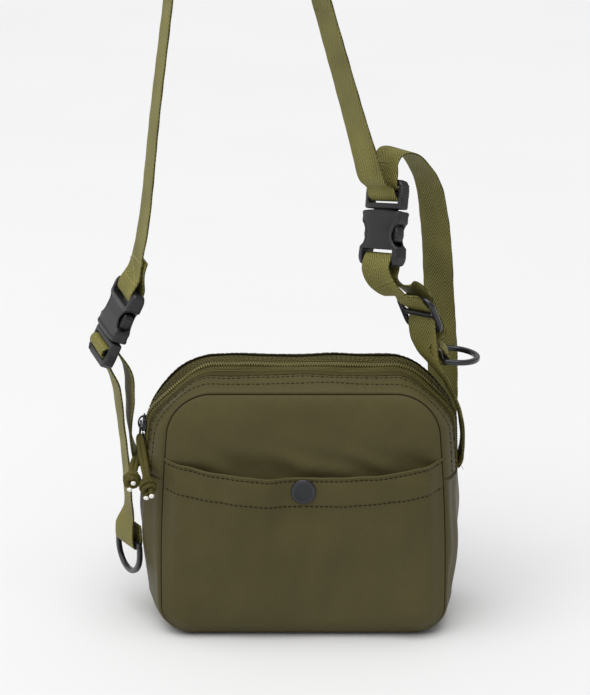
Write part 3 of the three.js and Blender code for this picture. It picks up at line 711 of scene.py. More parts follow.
def panel_forms(x, z, inset, seed):
    """Soft swells of a flat cloth panel and small puckers beside its seam."""
    p = np.stack([x, np.zeros_like(x), z], axis=-1)
    broad = (waves(p, seed, 80) * 2.1 + waves(p * [1.6, 1, 0.8], seed + 1, 36) * 0.75
             + waves(p * [1, 1, 0.7], seed + 5, 20) * 0.26)
    near_seam = np.exp(-np.maximum(inset - 2, 0) / 6.5)
    pucker = np.sin((x + z) * 0.62 + waves(p, seed + 2, 40) * 3) * 0.24 * near_seam
    drawn = (x * 0.55 + z) * 0.23 + waves(p, seed + 3, 60) * 1.6
    slack = np.sin(drawn) * 0.75 * bell(z, 117, 15) * smooth((inset - 3) / 9)
    return broad * smooth((inset - 2) / 16) + slack + pucker * smooth((inset - 1.4) / 2)


# ---- shell ----
def panel(name, side, seed):
    """A panel as rings that follow the seam, then close in on the middle."""
    insets = np.concatenate([ROLL_INSETS, [3, 4.2, 5.8, 7.6, 9.6, 12, 14.5]])
    rings = [RIM[:, :2] - RIM[:, 2:] * i for i in insets]
    shares = np.linspace(0, 1, 34)[1:]
    rings += [mix(rings[-1], np.array([0, BAG_MIDDLE[2]]), share * 0.995) for share in shares]
    xz = np.array(rings)
    inset = np.repeat([*insets, *(insets[-1] + shares * 60)], len(RIM)).reshape(len(rings), -1)
    front = lip(inset) + panel_forms(xz[..., 0], xz[..., 1], inset, seed)
    points = np.stack([xz[..., 0], side * (SEAM_Y + front), xz[..., 1]], axis=-1)
    rows, cols = points.shape[:2]
    verts = bowed(points.reshape(-1, 3))
    faces = lattice(rows, cols, False, True)
    if (normals_of(verts, faces)[:, 1].sum() < 0) != (side < 0):
        faces = faces[:, ::-1]
    verts, groups, uv = thickened(verts, faces, SKIN, verts[:, [0, 2]])
    tip = (np.arange(cols) + (rows - 1) * cols)[::side]
    return piece(name, verts, [*groups, tip[None]], NYLON, uv)


for (side, name), seed in zip(FACES, (3, 21)):
    riding(panel(f"bag_{name}", side, seed), "bag", "nylon", f"{name}_panel")

# a near-black tube in each panel seam's groove: painted shade along the seam
for side, name in FACES:
    seam = bowed(np.stack([RIM[:, 0] - RIM[:, 2] * ROLL, np.full(len(RIM), side * (SEAM_Y - ROLL + 0.05)),
                           RIM[:, 1] - RIM[:, 3] * ROLL], axis=1))
    outward = np.stack([RIM[:, 2], np.zeros(len(RIM)), RIM[:, 3]], axis=1)
    depthwise = np.tile([0.0, 1.0, 0.0], (len(RIM), 1))
    verts, groups, uv = swept(seam, outward, depthwise, circle(0.62, 8), closed=True)
    riding(piece(f"bag_seam_shade_{name}", verts, groups, SHADE_CLOTH, uv), "bag", "nylon")

# the strips beside the zip: a seam roll, the stitched cloth, and the fold at the tape as (y, lift)
FOLD = [(TAPE_EDGE + 0.35, -0.02), (TAPE_EDGE + 0.05, -0.18), (TAPE_EDGE - 0.1, -0.5), (TAPE_EDGE, -0.85),
        (TAPE_EDGE + 0.4, -1.1)]
strip_ys = [-33.2, -32, -30.6, -29.4, -28.7, -28.2, -27.8, -27.4, -26.9, -26, -24.5, -23, -22, -21.4, -21,
            -20.6, -20.2, -19.8, -19.3]
front_strip = SEAM_ROLL + [column(y, groove(y)) for y in strip_ys] + [column(-y, lift) for y, lift in FOLD]
strip_lift = end_roll(TOP_RUN) + 0.14 * np.sin(run_length(TOP_RUN[:, :2]) * 1.1)
for side, name in FACES:
    points = gusset(TOP_RUN, front_strip if side < 0 else mirrored(front_strip), strip_lift, 0.5)
    strip = skin(f"bag_zip_gusset_{name}", points, STRIP_SKIN, NYLON)
    riding(strip, "bag", "nylon", f"zip_gusset_{name}")

low_half = SEAM_ROLL + [column(y) for y in (-33, -31.5, -29.5, *range(-27, 0, 3))]
low_points = gusset(LOW_RUN, [*low_half, column(0), *mirrored(low_half)], end_roll(LOW_RUN))
riding(skin("bag_lower_gusset", low_points, SKIN, NYLON), "bag", "nylon", "lower_gusset")

# ---- zip: tapes, coil and its teeth ----
TAPE_LIFTS = ((TAPE_EDGE + 1.5, -1.25), (16, -1.15), (13, -1.05), (10, -0.95), (7, -0.85), (4.6, -0.7),
              (3.4, -0.55), (2.6, -0.5), (1.9, -0.55))
tape_cols = [column(-y, lift) for y, lift in TAPE_LIFTS]
for side, name in FACES:
    tape = gusset(TOP_RUN, tape_cols if side < 0 else mirrored(tape_cols), end_roll(TOP_RUN) * 0.3, 0.5)
    tape = skin(f"zip_tape_{name}_cloth", tape, STRIP_SKIN, TAPE)
    riding(tape, "bag", "zip_tape", f"zip_tape_{name}")

# a near-black strip under the teeth: painted shade that shows between the coil's loops
coil_shade_strip = gusset(TOP_RUN, [column(y, -0.75) for y in (-2.2, -1, 0, 1, 2.2)], 0, 0.5)
riding(skin("painted_shade_cloth", coil_shade_strip, STRIP_SKIN, SHADE_CLOTH), "bag", "zip_coil", "zip_coil")


def zip_lines(y, lift, row_lift=0):
    """A line along the zip at one depth, and the way out of the bag along it, 1 mm long."""
    line, above = (gusset(TOP_RUN, [column(y, h)], row_lift, 0.5)[:, 0] for h in (lift, lift + 1))
    return line, above - line


TOOTH_STEPS = 16              # steps of 0.1 mm from one tooth to the next
teeth = []
middle, outward = zip_lines(0, -0.1)
line, up = resample(middle, 0.1, unit(outward))
along = unit(np.gradient(line, axis=0))
for side, first in ((-1, 6), (1, 6 + TOOTH_STEPS // 2)):
    at = np.arange(first, len(line) - 6, TOOTH_STEPS)
    across = unit(np.cross(along, up))
    across *= np.sign(across[:, 1:2]) * side
    teeth.append(blobs(line[at] + across[at] * 1.6, across[at] * 1.5, along[at] * 0.52, unit(up[at]) * 0.75,
                       0.8))
riding(sewn("zip_teeth", teeth, COIL), "bag", "zip_coil")

seam_lines = []
for y in (-11.2, -8.8, -6.5, 6.5, 8.8, 11.2):
    line, up = zip_lines(y, -0.4)
    seam_lines.append(stitches(line, unit(up), 1.5 + 0.07 * (y + 12), 0.8, 0.27, 0.1))
riding(sewn("zip_tape_stitching", seam_lines, COIL), "bag", "zip_tape")

for side, name in FACES:
    line, up = zip_lines(side * (TAPE_EDGE - 0.5), -0.55)
    across = unit(np.cross(np.gradient(line, axis=0), up))
    verts, groups, uv = swept(line[2:-2], across[2:-2], unit(up)[2:-2], circle(0.55, 8))
    riding(piece(f"zip_fold_shadow_{name}", verts, groups, SHADE_CLOTH, uv), "bag", "nylon")

rows = []
for y in [s * v for s in (-1, 1) for v in STITCH_YS]:
    line, up = zip_lines(y, groove(y), strip_lift)
    rows.append(stitches(line[3:-3], up[3:-3]))
for near in (LOW_RUN[3:4], LOW_RUN[-4:-3]):
    line, above = (gusset(near, [column(y, lift) for y in np.linspace(-31, 31, 24)], end_roll(near))[0]
                   for lift in (0, 1))
    rows.append(stitches(line, above - line))
riding(sewn("gusset_topstitching", rows, THREAD), "bag", "nylon")

# ---- pocket ----
def mouth_height(x):
    return mix(MOUTH_MID, MOUTH_SIDE, (np.abs(x) / POCKET_HALF) ** 1.6)


POCKET_CLEAR, POCKET_SAG = 3, 6.8  # how far the pocket stands off the panel, and how much more in the middle


def pocket_front(x, z, lift=0.0):
    """Distance in front of the seam plane of the pocket's outer face."""
    inset = inset_of(x, z)
    held = 1 - 0.5 * np.exp(-((x / 17) ** 4) - ((z - SNAP_Z) / 24) ** 4)
    sag = (1 - np.minimum(1, np.abs(x / POCKET_HALF)) ** 4) * smooth((z - 5) / 60) * held
    near_snap = np.exp(-((x / 14) ** 4) - ((z - SNAP_Z) / 14) ** 4)
    forms = panel_forms(x, z, inset, 40) * (1 - near_snap)
    below = mouth_height(x) - z
    hem = 0.5 * smooth((20.5 - below) / 1.6) * smooth((inset - 2) / 4)
    stitched = -0.42 * (bell(below, HEM_ROWS[0][0], 0.7) + bell(below, HEM_ROWS[1][0], 0.8))
    dimple = -0.5 * bell(np.hypot(x, z - SNAP_Z), 9.2, 2.2)
    out = mix(0.6, POCKET_CLEAR + POCKET_SAG * sag, smooth((inset - 1.6) / 9)) + hem + dimple
    return SEAM_Y + lip(inset) + out + stitched * smooth((inset - 2) / 2) + forms + lift


def pocket_points(x, z, lift=0.0):
    x, z = np.asarray(x, float), np.asarray(z, float)
    return bowed(np.stack([x, -pocket_front(x, z, lift), z], axis=-1))


def below_mouth(stations):
    return stations[stations[:, 1] < mouth_height(stations[:, 0]) - 0.4]


def pocket_mesh():
    """The pocket's triangles: close points along its seams, hem, stitches and snap, split down the middle."""
    seam = np.concatenate([below_mouth(RIM[RIM_HALF:]), below_mouth(RIM[:RIM_HALF])])
    edge = seam[:, :2] - seam[:, 2:] * ROLL
    mouth_x = np.linspace(-1, 1, 121)[::-1] * (abs(edge[0, 0]) - 0.05)
    border = np.concatenate([edge, np.stack([mouth_x, mouth_height(mouth_x)], axis=1)])
    inner = [seam[:, :2] - seam[:, 2:] * inset for inset in (*ROLL_INSETS[1:], 3, 4.2, 5.8, 7.8)]
    x = np.linspace(-82, 82, 110)
    inner += [np.stack([x, mouth_height(x) - below], axis=1)
              for below in (0.7, 1.3, 2.0, 2.7, 3.6, 16.6, 17.6, 18.2, 18.8, 19.4, 20.2, 21.2)]
    x, z = np.meshgrid(np.arange(-84, 84.1, 2.4), np.arange(6, 118, 2.4))
    x = x + 1.2 * (np.arange(x.shape[0])[:, None] % 2)
    inner.append(np.stack([x.ravel(), z.ravel()], axis=1))
    inner += [[0, SNAP_Z] + circle(r, 28) for r in (7, 8.2, 9.2, 10.4, 12)]
    inner = np.concatenate(inner)
    below = mouth_height(inner[:, 0]) - inner[:, 1]
    inner = inner[(inset_of(*inner.T) > ROLL + 0.01) & (below > 0.45) & (np.abs(inner[:, 0]) > 0.5)]
    middle = np.stack([np.zeros(46), np.linspace(4, MOUTH_MID - 1, 46)], axis=1)
    points = np.concatenate([border, middle, inner])
    count = len(border)
    foot, top = (int(np.argmin(np.hypot(*(border - [0, z]).T))) for z in (3.2, MOUTH_MID))
    chain = [foot, *range(count, count + len(middle)), top]
    edges = [(i, (i + 1) % count) for i in range(count)] + list(zip(chain[:-1], chain[1:]))
    flat, _, tris, *_ = delaunay_2d_cdt([Vector(p) for p in points], edges, [], 1, 1e-4)
    flat, tris = np.array(flat), np.array(tris)
    verts = pocket_points(*flat.T)
    if normals_of(verts, tris)[:, 1].sum() > 0:
        tris = tris[:, ::-1]
    return verts, tris, flat


pocket_verts, pocket_tris, pocket_flat = pocket_mesh()
pocket_normals = normals_of(pocket_verts, pocket_tris)


def pocket_half(obj, side, slot, *nodes):
    """A pocket piece with its transform baked in and the CAD nodes it replaces hidden."""
    return blending(obj, "bag", "pocket", (side * 86, 0, 60), (side * 24, 0, 60), slot, *nodes)


for name, side in (("left", -1), ("right", 1)):
    mine = pocket_tris[np.mean(pocket_flat[pocket_tris][..., 0], axis=1) * side > 0]
    used, mapped = np.unique(mine, return_inverse=True)
    verts, groups, uv = thickened(pocket_verts[used], mapped.reshape(mine.shape), SKIN, pocket_flat[used])
    obj = piece(f"pocket_{name}", verts, groups, NYLON, uv, sharp=0)
    outer = pocket_normals[used]
    obj.data.normals_split_custom_set_from_vertices(np.concatenate([outer, -outer]).tolist())
    pocket_half(obj, side, "nylon", "pocket_panel")
    # the hem's folded edge and its two stitch rows
    x = np.linspace(0, side * HEM_HALF, 90)
    edge = pocket_points(x, mouth_height(x) - 0.1, -0.55)
    hem = sewn(f"pocket_hem_{name}", [swept(edge, *carried(edge), circle(0.78, 12))], NYLON)
    pocket_half(hem, side, "nylon")
    rows = []
    for below, reach in HEM_ROWS:
        x = np.linspace(side * 0.6, side * reach, 80)
        line, above = (pocket_points(x, mouth_height(x) - below, lift) for lift in (0, 1))
        rows.append(stitches(line, above - line))
    pocket_half(sewn(f"pocket_topstitching_{name}", rows, THREAD), side, "nylon")

# ---- snap ----
CAP = [(0.01, -1.3), (3, -1.3), (5.0, -1.36), (5.6, -1.6), (6.2, -1.95), (6.9, -2.05), (7.5, -1.85),
       (7.9, -1.35), (7.95, -0.8), (7.7, -0.2), (4, 0.1), (0.01, 0.1)]
SOCKET = [(0.01, 0.7), (2.9, 0.8), (3.1, 1.35), (4.2, 1.3), (5.4, 0.9), (5.7, 0.4), (5.5, 0), (0.01, 0)]
STUD = [(0.01, -2.9), (1.7, -2.85), (2.4, -2.5), (2.55, -2.0), (2.1, -1.3), (2.3, -0.9), (4.6, -0.75),
        (5.1, -0.3), (0.01, -0.2)]
rim_faces = np.repeat([3 <= k <= 6 for k in range(len(CAP) - 1)], ROUND)
cap = turned("snap_cap_dish", CAP, SNAP_FRONT_Y + 0.35, GUNMETAL, [GUNMETAL, SNAP_RIM], rim_faces)
riding(cap, "pocket", "gunmetal", "snap_cap")
socket = turned("snap_socket_ring", SOCKET, SNAP_FRONT_Y + 1.6, METAL)
riding(socket, "pocket", "dark_metal", "snap_socket")
stud = turned("snap_stud_head", STUD, STUD_Y, METAL)
riding(stud, "bag", "dark_metal", "snap_stud", "snap_stud_post")

# ---- webbing routes: each stop is a point and the way the webbing's width lies there ----
def local(m, pairs, across):
    """Stops in a fitting's own frame, as (height off its face, distance along it)."""
    return [(point, across) for point in placed(m, [(0, n, a) for n, a in pairs])]


def world(rows):
    """Stops as (x, y, z, and two or three numbers for the width's direction)."""
    return [(np.array(r[:3], float), np.array([*r[3:], 0][:3], float)) for r in rows]


LOOP = [(-3.1, 0.6), (-2.2, -2.2), (0, -3.1), (2.2, -2.2), (3.1, 0.6)]
FEMALE_LOOP = [(n * 1.2, a * 0.8 + 29.6) for n, a in LOOP]
LEFT_ACROSS = LEFT_BUCKLE[:3, 0]
RIGHT_ACROSS = -RIGHT_BUCKLE[:3, 0]
GLIDE_ACROSS = -TRI_GLIDE[:3, 0]

LEFT_STRAP = (
    world([(-102.8, 3, 104.5, 0, 1), (-108, 4, 109.5, 0, 1), (-111.5, 4, 127, -0.15, 0.99),
           (-110.5, 1.5, 150, -0.28, 0.96), (-111.5, 1, 167, -0.3, 0.95)])
    + local(LEFT_BUCKLE, [(-7, -8.5), (-3.4, -6.3), (0, -5.9), (3.4, -6.3), (5.2, -7.6), (5.6, -9.6),
                          (5.1, -11.5), (3.2, -12.6), (0, -12.9), (-3.4, -13.8), (-4.6, -18)], LEFT_ACROSS)
    + world([(-119.5, 1, 158, -0.3, 0.95), (-116.5, 0, 133, -0.25, 0.97), (-114, 0, 106, -0.25, 0.97),
             (-113, 0, 84, -0.25, 0.97), (-112.6, 0, 72, -0.28, 0.96)])
    + local(LEFT_RING, [(3, 9), *LOOP[::-1], (-2.6, 12)], LEFT_RING[:3, 0]))
SHOULDER_STRAP = (
    local(LEFT_BUCKLE, [(3.1, 55), (1.9, 48), (-0.4, 42), (-3.2, 36.5), *FEMALE_LOOP, (3.9, 35), (3, 42)],
          LEFT_ACROSS)
    + world([(-104, 0, 240, -0.28, 0.95), (-99, 0, 265, -0.28, 0.96), (-91, 0, 333, -0.26, 0.97),
             (-82, 0, 401, -0.25, 0.97), (-76, 0, 450, -0.15, 1), (-70, 0, 470, -0.1, 1), (-57, 0, 485, 0, 1),
             (-39, 0, 490, 0, 1), (-21, 0, 485, 0, 1), (-9, 0, 470, -0.15, 1), (-3, 0, 450, -0.3, 0.95),
             (11, 0, 401, -0.49, 0.87), (28, 0, 341, -0.54, 0.84), (36.6, -1, 311, -0.6, 0.8),
             (42.8, -2.5, 290.5, -0.66, 0.75)])
    + local(RIGHT_BUCKLE, [(6.4, -12.6), (4.4, -8.6), (1.2, -6.3), (-1.4, -6.2), (-3.2, -8), (-3.2, -10.4),
                           (-1.8, -12.2), (0.8, -13), (3.1, -13.9), (4.2, -17), (4.3, -21)], RIGHT_ACROSS)
    + world([(50.5, 6, 300, -0.64, 0.74, -0.1), (55, 10, 306.5, -0.6, 0.78), (64, 16, 305, -0.55, 0.8),
             (72, 22, 296, -0.6, 0.78), (79, 28, 282, -0.66, 0.75), (83, 33, 262, -0.7, 0.71),
             (86, 38, 236, -0.73, 0.68), (88, 42, 205, -0.75, 0.66), (91, 46, 168, -0.75, 0.66),
             (92, 49, 135, -0.75, 0.66), (91, 50, 106, -0.75, 0.66)]))
RIGHT_STRAP = (
    world([(99, 0, 105.4, 0, 1), (100.9, 0, 109, 0, 1), (101.8, 0, 115, 0, 1), (102, 0, 122, -0.02, 1),
           (99.6, 0, 140, -0.08, 1), (91, -2, 159, -0.2, 0.96), (80.5, -5, 176, -0.42, 0.9)])
    + local(TRI_GLIDE, [(-4.4, -17), (-2.9, -11), (-1.4, -7.4), (1.6, -3), (2.5, 0), (1.6, 3), (-1.4, 7.4),
                        (-2.9, 11), (-4, 16)], GLIDE_ACROSS)
    + world([(57, -13.8, 220.8, -0.68, 0.72, -0.12), (49.8, -15.2, 227.2, -0.67, 0.73, -0.14)])
    + local(RIGHT_BUCKLE, [(4.8, 37), *FEMALE_LOOP[::-1], (-3.9, 35.5), (-3.4, 42)], RIGHT_ACROSS)
    + world([(54.5, -7, 225.6, -0.67, 0.73, -0.14), (65, -2.9, 222.9, -0.68, 0.72, -0.12)])
    + local(TRI_GLIDE, [(4.8, 12), (5, 6), (5, 0), (4.9, -9), (4.9, -15)], GLIDE_ACROSS)
    + local(RIGHT_FOLD, [(2.8, 13), *LOOP[::-1], (-2.8, 9)], RIGHT_FOLD[:3, 0]))


def curve_through(stops, fine=24):
    """A centripetal curve through the stops, and the width direction along it."""
    p = np.array([s[0] for s in stops])
    a = np.array([s[1] for s in stops])
    p = np.concatenate([[2 * p[0] - p[1]], p, [2 * p[-1] - p[-2]]])
    line, across = [], []
    for i in range(1, len(p) - 2):
        x0, x1, x2, x3 = p[i - 1:i + 3]
        d0, d1, d2 = (max(np.linalg.norm(v) ** 0.5, 1e-3) for v in (x1 - x0, x2 - x1, x3 - x2))
        t1 = ((x1 - x0) / d0 - (x2 - x0) / (d0 + d1) + (x2 - x1) / d1) * d1
        t2 = ((x2 - x1) / d1 - (x3 - x1) / (d1 + d2) + (x3 - x2) / d2) * d1
        t = np.linspace(0, 1, fine, endpoint=False)[:, None]
        line.append(x1 + t1 * t + (-3 * x1 + 3 * x2 - 2 * t1 - t2) * t ** 2
                    + (2 * x1 - 2 * x2 + t1 + t2) * t ** 3)
        across.append(mix(a[i - 1], a[i], t))
    line.append(p[-2][None])
    across.append(a[-1][None])
    return np.concatenate(line), np.concatenate(across)


class Ribbon:
    """A webbing route with even steps: its middle line, width and face directions, and length run."""

    def __init__(self, stops, step=1.1):
        line, across = curve_through(stops)
        self.line, across = resample(line, step, across)
        along = unit(np.gradient(self.line, axis=0))
        self.wide = unit(across - along * np.sum(across * along, axis=1, keepdims=True))
        self.face = np.cross(self.wide, along)
        self.s = run_length(self.line)

    def on(self, s, x, h):
        """Points at lengths s, offsets x across and heights h off the middle."""
        s, x, h = np.broadcast_arrays(np.asarray(s, float), x, h)
        take = lambda rows: np.stack([np.interp(s, self.s, rows[:, k]) for k in range(3)], axis=-1)
        return take(self.line) + unit(take(self.wide)) * x[..., None] + unit(take(self.face)) * h[..., None]

    def nearest(self, point):
        return self.s[np.argmin(np.linalg.norm(self.line - np.array(point), axis=1))]


def web_section(count=26):
    """Webbing's section: two flat faces with faint ribs, rolled selvedges."""
    x = -np.cos(np.linspace(0, np.pi, count)) * 0.35 + np.linspace(-1, 1, count) * 0.65
    half = WEB_THICK / 2 * (1 - np.abs(x) ** 22) ** 0.4
    half = half * (1 + 0.09 * np.exp(-((np.abs(x) - 0.93) / 0.035) ** 2))
    top = np.stack([x * WEB_HALF, half], axis=1)
    return np.concatenate([top, top[::-1][1:-1] * [1, -1]])


def web(name, ribbon, low, high, seed):
    """A length of webbing from one run length to another, slightly cupped and uneven."""
    pick = (ribbon.s >= low - 1e-6) & (ribbon.s <= high + 1e-6)
    line, wide, face, s = ribbon.line[pick], ribbon.wide[pick], ribbon.face[pick], ribbon.s[pick]
    section = web_section()
    width = 1 + 0.008 * np.sin(s * 0.21 + seed) + 0.006 * np.sin(s * 0.53 + seed * 2)
    cup = 0.1 * np.sin(s * 0.35 + seed)
    profile = np.broadcast_to(section, (len(line), *section.shape)).copy()
    profile[..., 0] *= width[:, None]
    profile[..., 1] += cup[:, None] * np.sin(section[:, 0] / WEB_HALF * 2.5)
    verts, groups, uv = swept(line, wide, face, profile)
    uv[:, 1] += s[0]
    return piece(name, verts, groups, WEB, uv, sharp=0)


def fray(ribbon, s, side, seed, count=5):
    """A few stray threads at a cut or folded edge."""
    rng = np.random.default_rng(seed)
    parts = []
    for _ in range(count):
        start = ribbon.on(s + rng.uniform(-2, 2), side * SELVEDGE, rng.uniform(-0.6, 0.6))
        out = ribbon.on(s, side * (SELVEDGE + 1), 0) - ribbon.on(s, side * SELVEDGE, 0)
        way = unit(out + rng.normal(size=3) * 0.7)
        bend = unit(rng.normal(size=3))
        t = np.linspace(0, 1, 9)[:, None]
        path = start + way * t * rng.uniform(1.2, 3.2) + bend * t ** 2 * rng.uniform(0.5, 1.6)
        parts.append(swept(path, *carried(path), circle(0.13, 5)))
    return joined(parts)


def box_stitch(ribbon, low, high, h, cross=False, inset=9.8):
    """A sewn box, with or without its diagonals, on one face of the webbing."""
    lines = [[(low, -inset), (low, inset)], [(high, -inset), (high, inset)], [(low, -inset), (high, -inset)],
             [(low, inset), (high, inset)]]
    if cross:
        lines += [[(low, -inset), (high, inset)], [(low, inset), (high, -inset)]]
    t = np.linspace(0, 1, 16)
    parts = []
    for (s0, x0), (s1, x1) in lines:
        path, above = (ribbon.on(mix(s0, s1, t), mix(x0, x1, t), height) for height in (h, h + np.sign(h)))
        parts.append(stitches(path, above - path, 2.1, 0.82, 0.26, 0.02))
    return parts


def both_faces(ribbon, low, high, inset=9.8):
    return [part for h in (SEWN, -SEWN) for part in box_stitch(ribbon, low, high, h, inset=inset)]


left_web, shoulder, right_web = Ribbon(LEFT_STRAP), Ribbon(SHOULDER_STRAP), Ribbon(RIGHT_STRAP)


def passing(ribbon, m, height, along):
    """The length run where a route passes a point of a fitting."""
    return ribbon.nearest(placed(m, [(0, height, along)])[0])


riding(web("left_adjust_webbing", left_web, 0, left_web.s[-1], 1), "bag", "webbing", "left_adjust_strap")

# the right strap in lengths, split where it is threaded through the tri-glide and where it passes behind it
at_glide, behind_glide = passing(right_web, TRI_GLIDE, 2.5, 0), passing(right_web, TRI_GLIDE, 5, 0)
past_glide, loop_end = right_web.nearest((49.8, -15.2, 227.2)), passing(right_web, RIGHT_BUCKLE, -3.4, 42)
right_cut = right_web.s[-1]
for name, low, high, bodies, start, end in (
        ("right_webbing_lower", 0, at_glide, ("bag", "tri_glide"), (94, -1, 152), (79, -5, 194)),
        ("right_webbing_upper", at_glide, past_glide, ("tri_glide", "bag"), (66, -8, 218), (50, -15, 225)),
        ("right_adjust_webbing", past_glide, loop_end, None, None, None),
        ("right_return_upper", loop_end, behind_glide, ("bag", "tri_glide"), (52, -8, 228), (63, -4, 222.6)),
        ("right_return_lower", behind_glide, right_cut, ("tri_glide", "bag"), (74, -5, 203), (80, -3, 191))):
    part = web(name, right_web, low, high, 2)
    if bodies:
        blending(part, *bodies, start, end, "webbing")
    else:
        riding(part, "bag", "webbing", "right_adjust_strap")

left_end, right_start = shoulder.nearest((-95.5, 0, 300)), shoulder.nearest((12, 0, 396))
right_end, tail_end = shoulder.nearest((50.5, 6, 300)), shoulder.s[-1]
LEFT_BEND = ("bag", "left_female", (-95.5, 0, 296), (-104, 0, 242), "webbing")
RIGHT_BEND = ("bag", "right_male", (13, 0, 390), (37, -2, 312), "webbing")
blending(web("shoulder_webbing_left_end", shoulder, 0, left_end, 3), *LEFT_BEND)
riding(web("shoulder_webbing", shoulder, left_end, right_start, 3), "bag", "webbing", "shoulder_strap")
blending(web("shoulder_webbing_right_end", shoulder, right_start, right_end, 3), *RIGHT_BEND)
riding(web("shoulder_webbing_tail", shoulder, right_end, tail_end, 3), "right_male", "webbing")

fold = passing(shoulder, LEFT_BUCKLE, 3, 42)
parts = box_stitch(shoulder, fold - 3, fold + 11, -SEWN, cross=True)
parts += [fray(shoulder, fold + 11, -1, 5, 7), fray(shoulder, fold + 8, 1, 6, 4)]
blending(sewn("left_fold_stitching", parts, PALE_THREAD), *LEFT_BEND)
left_cut = left_web.s[-1]
parts = both_faces(left_web, left_cut - 8, left_cut - 2) + both_faces(right_web, right_cut - 9, right_cut - 2)
parts += both_faces(left_web, 3, 8, 11) + both_faces(right_web, 3, 8, 11)
parts += [fray(left_web, left_cut - 2, side, 8 + side, 5) for side in (-1, 1)]
parts += [fray(right_web, right_cut - 1, side, 12 + side, 6) for side in (-1, 1)]
parts += [fray(right_web, 1.5, side, 15 + side, 6) for side in (-1, 1)] + [fray(left_web, 1.5, 1, 19, 5)]
riding(sewn("anchor_stitching", parts, THREAD), "bag", "webbing")
hem = both_faces(shoulder, tail_end - 9, tail_end - 2, 11)
riding(sewn("tail_hem_stitching", hem, THREAD), "right_male", "webbing")


# ---- side-release buckles, each in its own frame: X across, Y out of the face, Z from male to female ----
BUCKLE_HALF = 16.5            # half the width of its shoulders
FEMALE_END, SLOT_HALF = 35, 13.3
SCOOP = (16.6, 4.6, 15.4, 7.1)     # the finger scoop's centre and radius across, then along
WINDOW = (9, 4.5, 15.6, 6.9)       # the latch window's inner edge, half height, centre and radius along
# each outline below lists distances along the buckle and the half width or half height there
FEMALE_WIDTH = ([-1, 6, 9.5, 15.4, 20, 24, 29, 33, 35.2], [16.5, 16.5, 15.6, 14.1, 14.8, 17, 17.7, 17, 15.3])
FEMALE_THICK = ([-1, 3.0, 3.7, 14, 21, 25, 31, 35.2], [5.75, 5.75, 5.3, 5.35, 4.9, 5.5, 5.3, 3.8])
MALE_WIDTH = ([-19.2, -18, -15.5, -12, -0.4], [11.5, 13.8, 15.9, 16.5, 16.5])
PRONG_INNER = ([0, 4, 10, 20.5], [8.9, 9.9, 9.4, 9.6])
PRONG_OUTER = ([0, 4, 8.6, 10.4, 13, 15.4, 17.8, 19.6, 20.6],
               [13.1, 13.2, 12.9, 13.8, 14.8, 15.1, 14.7, 13.6, 12.4])
PRONG_HIGH = ([0, 8, 12, 16, 20.5], [2.9, 2.9, 3.3, 3.3, 2.7])


def ribs(z, pitch, low, high):
    """Grip ribs between two distances along the buckle."""
    return np.clip(np.cos(2 * np.pi * z / pitch), 0, 1) * ((z > low) & (z < high))


def female_field(x, y, z):
    ax, ay = np.abs(x), np.abs(y)
    scoop = np.hypot((ax - SCOOP[0]) / SCOOP[1], (z - SCOOP[2]) / SCOOP[3])
    thick = np.interp(z, *FEMALE_THICK) - 0.8 * (ax / BUCKLE_HALF) ** 4 + 0.4 * bell(scoop, 1.13, 0.12)
    mouth = 0.9 * (ax / BUCKLE_HALF) ** 2
    sides = smax(ax - np.interp(z, *FEMALE_WIDTH), ay - thick, 1.6)
    body = smax(sides, np.maximum(mouth - z, z - FEMALE_END), 1.4)
    body = smax(body, z - FEMALE_END, 1.6)
    cavity = block(ax, ay, z, (-1, 13.5, -1, 3.8, -3, 22.4))
    inner, high, middle, reach = WINDOW
    window = smax(inner - ax, (np.hypot(ay / high, (z - middle) / reach) - 1) * high, 0.4)
    slot = block(ax, y, z, (-1, SLOT_HALF, -9, 9, 24.6, 29.6), 1.2)
    thin = block(ax, ay, z, (-1, SLOT_HALF, 2.7, 9, 26, 40), 0.8)
    cut = np.minimum.reduce([cavity, window, slot, thin, (scoop - 1) * 4.2])
    return smax(body, -cut, 0.7)


def male_field(x, y, z):
    ax, ay = np.abs(x), np.abs(y)
    width = np.interp(z, *MALE_WIDTH) + 0.56 * ribs(z, 1.7, -15.6, -8.6)
    high = 3.9 - 0.6 * (ax / BUCKLE_HALF) ** 4
    frame_part = smax(smax(ax - width, ay - high, 1.5), slab(z, -19.0, -0.45), 1.5)
    near = block(ax, y, z, (-1, 13.1, -9, 9, -8, -4.2), 0.8)
    far = block(ax, y, z, (-1, 13.1, -9, 9, -14.6, -11), 0.8)
    over_bar = block(ax, y, z, (-1, 13.1, 1.6, 9, -12, -6), 0.8)
    under_bar = block(ax, y, z, (-1, 13.1, -9, -1.4, -12, -6), 0.8)
    end = block(ax, ay, z, (-1, 12.6, 2.8, 9, -24, -13.6), 0.8)
    body = smax(frame_part, -np.minimum.reduce([near, far, over_bar, under_bar, end]), 0.8)
    tongue = block(ax, ay, z, (-1, 2.8, -1, 2.4, -1, 17), 0.8)
    root = block(ax, ay, z, (-1, 8.2, -1, 3, -1, 1.4), 0.6)
    return smin(body, smin(tongue, root, 0.8), 0.6)


def prong_field(x, y, z):
    inner, outer = np.interp(z, *PRONG_INNER), np.interp(z, *PRONG_OUTER) + 0.16 * ribs(z, 1.9, 11, 19)
    sides = smax(np.maximum(inner - x, x - outer), np.abs(y) - np.interp(z, *PRONG_HIGH), 1.3)
    return smax(sides, slab(z, 0.25, 20.2), 0.9)


